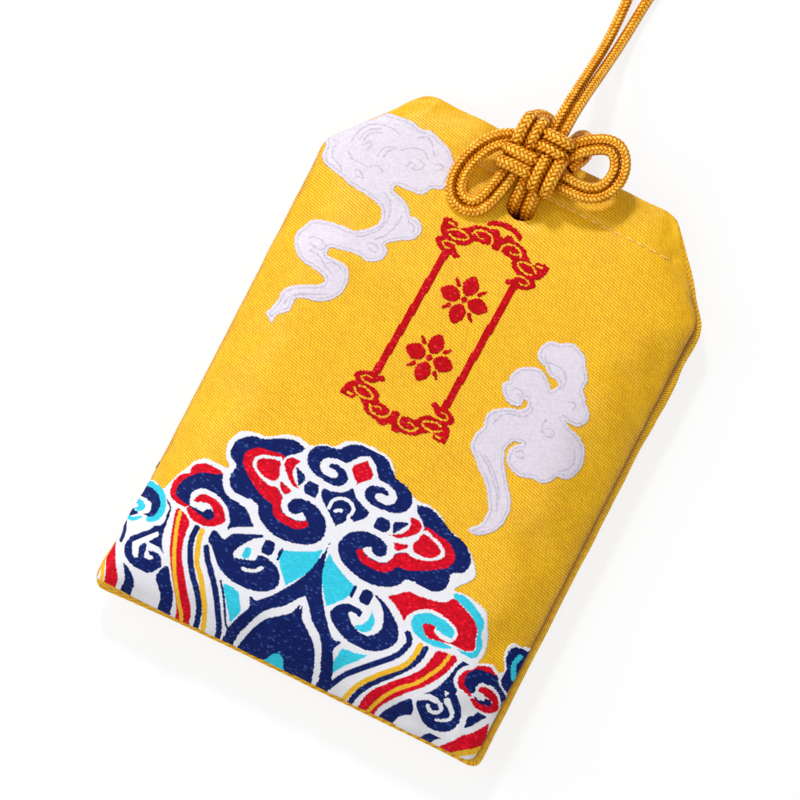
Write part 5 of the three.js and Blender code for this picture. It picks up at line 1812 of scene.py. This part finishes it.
@dataclass
class Studio:
    """The floor, lamps and camera of a plain product photograph."""

    target: tuple[float, float, float] = (0.0, 0.0, SEAM_HEIGHT)
    lean: tuple[float, float] = (8.0, -4.0)
    roll: float = 27.15
    distance: float = 1000.0
    pixels_per_mm: float = 7.61
    middle: tuple[float, float] = (418.0, 416.9)
    frame_pixels: float = 800.0
    floor_reach: float = 1500.0

    def camera(self) -> Object:
        """The camera at the photograph's angle, looking down on the bag's face."""
        data = bpy.data.cameras.new("camera")
        data.sensor_width = 36.0
        data.lens = data.sensor_width * self.distance * self.pixels_per_mm / self.frame_pixels
        data.shift_x = (self.frame_pixels / 2 - self.middle[0]) / self.frame_pixels
        data.shift_y = (self.middle[1] - self.frame_pixels / 2) / self.frame_pixels
        data.clip_end = 10
        camera = add_object("camera", data)
        back = Vector((math.tan(math.radians(self.lean[0])), math.tan(math.radians(self.lean[1])), 1)).normalized()
        right = Vector((0, 1, 0)).cross(back).normalized()
        up = back.cross(right)
        turn = math.radians(self.roll)
        across = right * math.cos(turn) + up * math.sin(turn)
        upward = up * math.cos(turn) - right * math.sin(turn)
        place = (Vector(self.target) + back * self.distance) * MM
        camera.matrix_world = Matrix.Translation(place) @ Matrix((across, upward, back)).transposed().to_4x4()
        bpy.context.scene.camera = camera
        return camera

    def floor(self) -> Object:
        """A wide pale floor, white to the camera, that keeps a soft shadow."""
        corners = np.array([[-1, -1, 0], [1, -1, 0], [1, 1, 0], [-1, 1, 0]]) * self.floor_reach
        made = add_mesh("floor", corners, [[0, 1, 2, 3]])
        finish, board, shader = Finish("pale_floor").board()
        Finish.join(board, shader, Base_Color=(0.9, 0.9, 0.9, 1), Roughness=0.9, Specular_IOR_Level=0.1)
        rays = board.add("ShaderNodeLightPath").outputs
        seen = board.math("MAXIMUM", rays["Is Camera Ray"], rays["Is Glossy Ray"])
        seen = board.math("MAXIMUM", seen, rays["Is Transmission Ray"])
        glow = board.out("ShaderNodeEmission", {"Color": (1, 1, 1, 1), "Strength": 1.0})
        share = board.math("MULTIPLY", seen, 0.8)
        both = board.out("ShaderNodeMixShader", {0: share, 1: shader.outputs[0], 2: glow})
        board.give(finish.node_tree.nodes["Material Output"].inputs["Surface"], both)
        made.data.materials.append(finish)
        return made

    def lamps(self) -> None:
        """A soft key from above the mouth's left, a fill from the left and a pale world."""
        for name, place, size, power in (
            ("key", (-330, 560, 560), 0.1, 4.2),
            ("fill", (-300, -40, 230), 0.24, 0.6),
            ("top", (220, -200, 800), 0.8, 3.4),
        ):
            data = bpy.data.lights.new(name, "AREA")
            data.energy = power
            data.size = size
            lamp = add_object(name, data)
            away = Vector(place).normalized()
            lamp.matrix_world = away.to_track_quat("Z", "Y").to_matrix().to_4x4()
            lamp.location = Vector(place) * MM
        world = bpy.data.worlds.new("studio")
        bpy.context.scene.world = world
        world.use_nodes = True
        board = NodeBoard(world.node_tree)
        rays = board.add("ShaderNodeLightPath").outputs
        dim = world.node_tree.nodes["Background"]
        Finish.join(board, dim, Color=(1, 0.99, 0.97, 1), Strength=0.22)
        white = board.out("ShaderNodeBackground", {"Color": (1, 1, 1, 1), "Strength": 1.0})
        both = board.out("ShaderNodeMixShader", {0: rays["Is Camera Ray"], 1: dim.outputs[0], 2: white})
        board.give(world.node_tree.nodes["World Output"].inputs["Surface"], both)

    def build(self) -> None:
        """Sets the colour transform and makes camera, floor and lamps."""
        bpy.context.scene.view_settings.view_transform = "Standard"
        self.camera()
        self.floor()
        self.lamps()


@dataclass
class AmuletBag:
    """The whole bag: panels, figures, stitches, inner layers and cord."""

    weave: NodeTree

    def cord(self) -> None:
        """Braids the cord's pieces."""
        # yarn colour, painted valley shade and painted highlight for the yarns' tops
        silk = SilkYarn("gold_cord", linear(222, 130, 2), linear(86, 20, 0), linear(255, 216, 84)).material()
        plain = Braid(silk)
        tight = replace(plain, diameter=2.0, yarns=8, pitch=4.4, width=0.52, tree=plain.build_tree())
        for made in KnottedCord(plain, tight).build():
            LOG.info("%s: %d faces", made.name, len(made.data.polygons))

    def panels(self) -> None:
        """Makes both halves with their inner layers and figures, and says how they are cut."""
        # satin colour; darker tone for random drift and the painted shade in the weave's gaps; painted shade for the
        # seam crevice
        gold = linear(252, 203, 12), linear(194, 108, 0), linear(130, 56, 0)
        satin = SatinCloth("gold_satin", *gold).material(self.weave)
        figure = FigureThread("figure_threads").material(self.weave)
        fleece = FibreStuff("wadding_fleece", linear(240, 238, 230), linear(214, 210, 200), 400.0, 0.9, 0.6).material()
        silk = FibreStuff("lining_cloth", linear(232, 178, 60), linear(208, 150, 36), 1500.0, 0.6, 0.2).material()
        pair = (
            Panel("front_brocade", 1.0, 5.0, 0.6, right=-0.75, bottom=-0.3, hole=(30.25, 1.86, 1.5)),
            Panel("back_brocade", -1.0, 4.6, 0.0, right=0.1, bottom=0.1, hole=(31.3, 1.6, 0.9), crease_shade=(0.3, 0.12)),
        )
        for half, side in zip(pair, ("front", "back")):
            made = half.build()
            made.data.materials.append(satin)
            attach(made, "bag")
            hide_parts(f"{side}_panel")
            pad = PocketLayer(f"{side}_wadding_pad", f"{side}_wadding", half, 1.9, 0.95, 20.3, 1.0)
            pad = pad.build(fleece, "wadding")
            lining = PocketLayer(f"{side}_lining_sheet", f"{side}_lining", half, 3.4, 2.1, 18.6)
            lining = lining.build(silk, "lining")
            if side == "front":
                for name, art, low, high in (
                    ("wave_border", WaveBorder(), (-29.8, -40), (29.8, -5)),
                    ("clouds", Clouds(), (-29.8, -12), (24, 36)),
                    ("cartouche", Cartouche(), (-10.5, -5), (9.5, 29)),
                ):
                    piece = Figure(name, art.shapes(), low, high).build(made, figure)
                    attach(piece, "bag")
            LOG.info("%s: %d faces", made.name, len(made.data.polygons))

    def stitches(self) -> None:
        """Sews the hems and the seam."""
        thread = FibreStuff("stitch_thread", linear(255, 222, 130), linear(232, 172, 60), 6000.0, 0.5, 0.3).material()
        hem = Stitching(thread, 1.2, 1.7, 0.22)
        shown_from, sunk, shown = -9.5, -0.2, 0.12
        for side, up in (("front", 1.0), ("back", -1.0)):
            low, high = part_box(f"{side}_hem_thread")
            xs = np.linspace(low[0], high[0], 24) / MM
            tree = face_tree(bpy.data.objects[f"{side}_brocade"].data)
            route = []
            for x in xs:
                hit = tree.ray_cast(Vector((x, HEM_LINE, SEAM_HEIGHT + 30 * up)), Vector((0, 0, -up)))[0]
                route.append((x, HEM_LINE, hit.z + up * (sunk if x < shown_from else shown)))
            hem.row(f"{side}_hem_stitches", np.array(route), (0, 0, up), f"{side}_hem_thread")
        seam = Stitching(thread, 0.9, 1.5, 0.26)
        for side, up in (("left", (-1.0, 0, 0)), ("right", (1.0, 0, 0)), ("bottom", (0, -1.0, 0))):
            low, high = (np.array(corner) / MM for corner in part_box(f"{side}_seam_thread"))
            middle = (low + high) / 2 - np.array(up) * 1.1
            ends = np.array([middle, middle])
            run = 0 if side == "bottom" else 1
            ends[0, run], ends[1, run] = low[run], high[run]
            seam.row(f"{side}_seam_stitches", ends, up, f"{side}_seam_thread")

    def papers(self) -> None:
        """Finishes the rigid pieces in the pocket."""
        for node, finish in (
            ("stiffener_card", FibreStuff("grey_card", linear(196, 188, 172), linear(160, 150, 132), 1200.0)),
            ("charm_envelope", FibreStuff("envelope_paper", linear(244, 240, 228), linear(226, 220, 204), 1600.0)),
            ("charm_slip", FibreStuff("slip_paper", linear(248, 232, 170), linear(230, 208, 140), 1800.0)),
        ):
            slots = bpy.data.objects[node].data.materials
            slots.clear()
            slots.append(finish.material())

    def build(self) -> None:
        """Builds the pieces in order, the cord first."""
        self.cord()
        self.panels()
        self.stitches()
        self.papers()


def main() -> None:
    """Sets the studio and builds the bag."""
    logging.basicConfig(level=logging.INFO, format="%(name)s: %(message)s")
    Studio().build()
    AmuletBag(weave_group()).build()


if __name__ == "__main__":
    main()
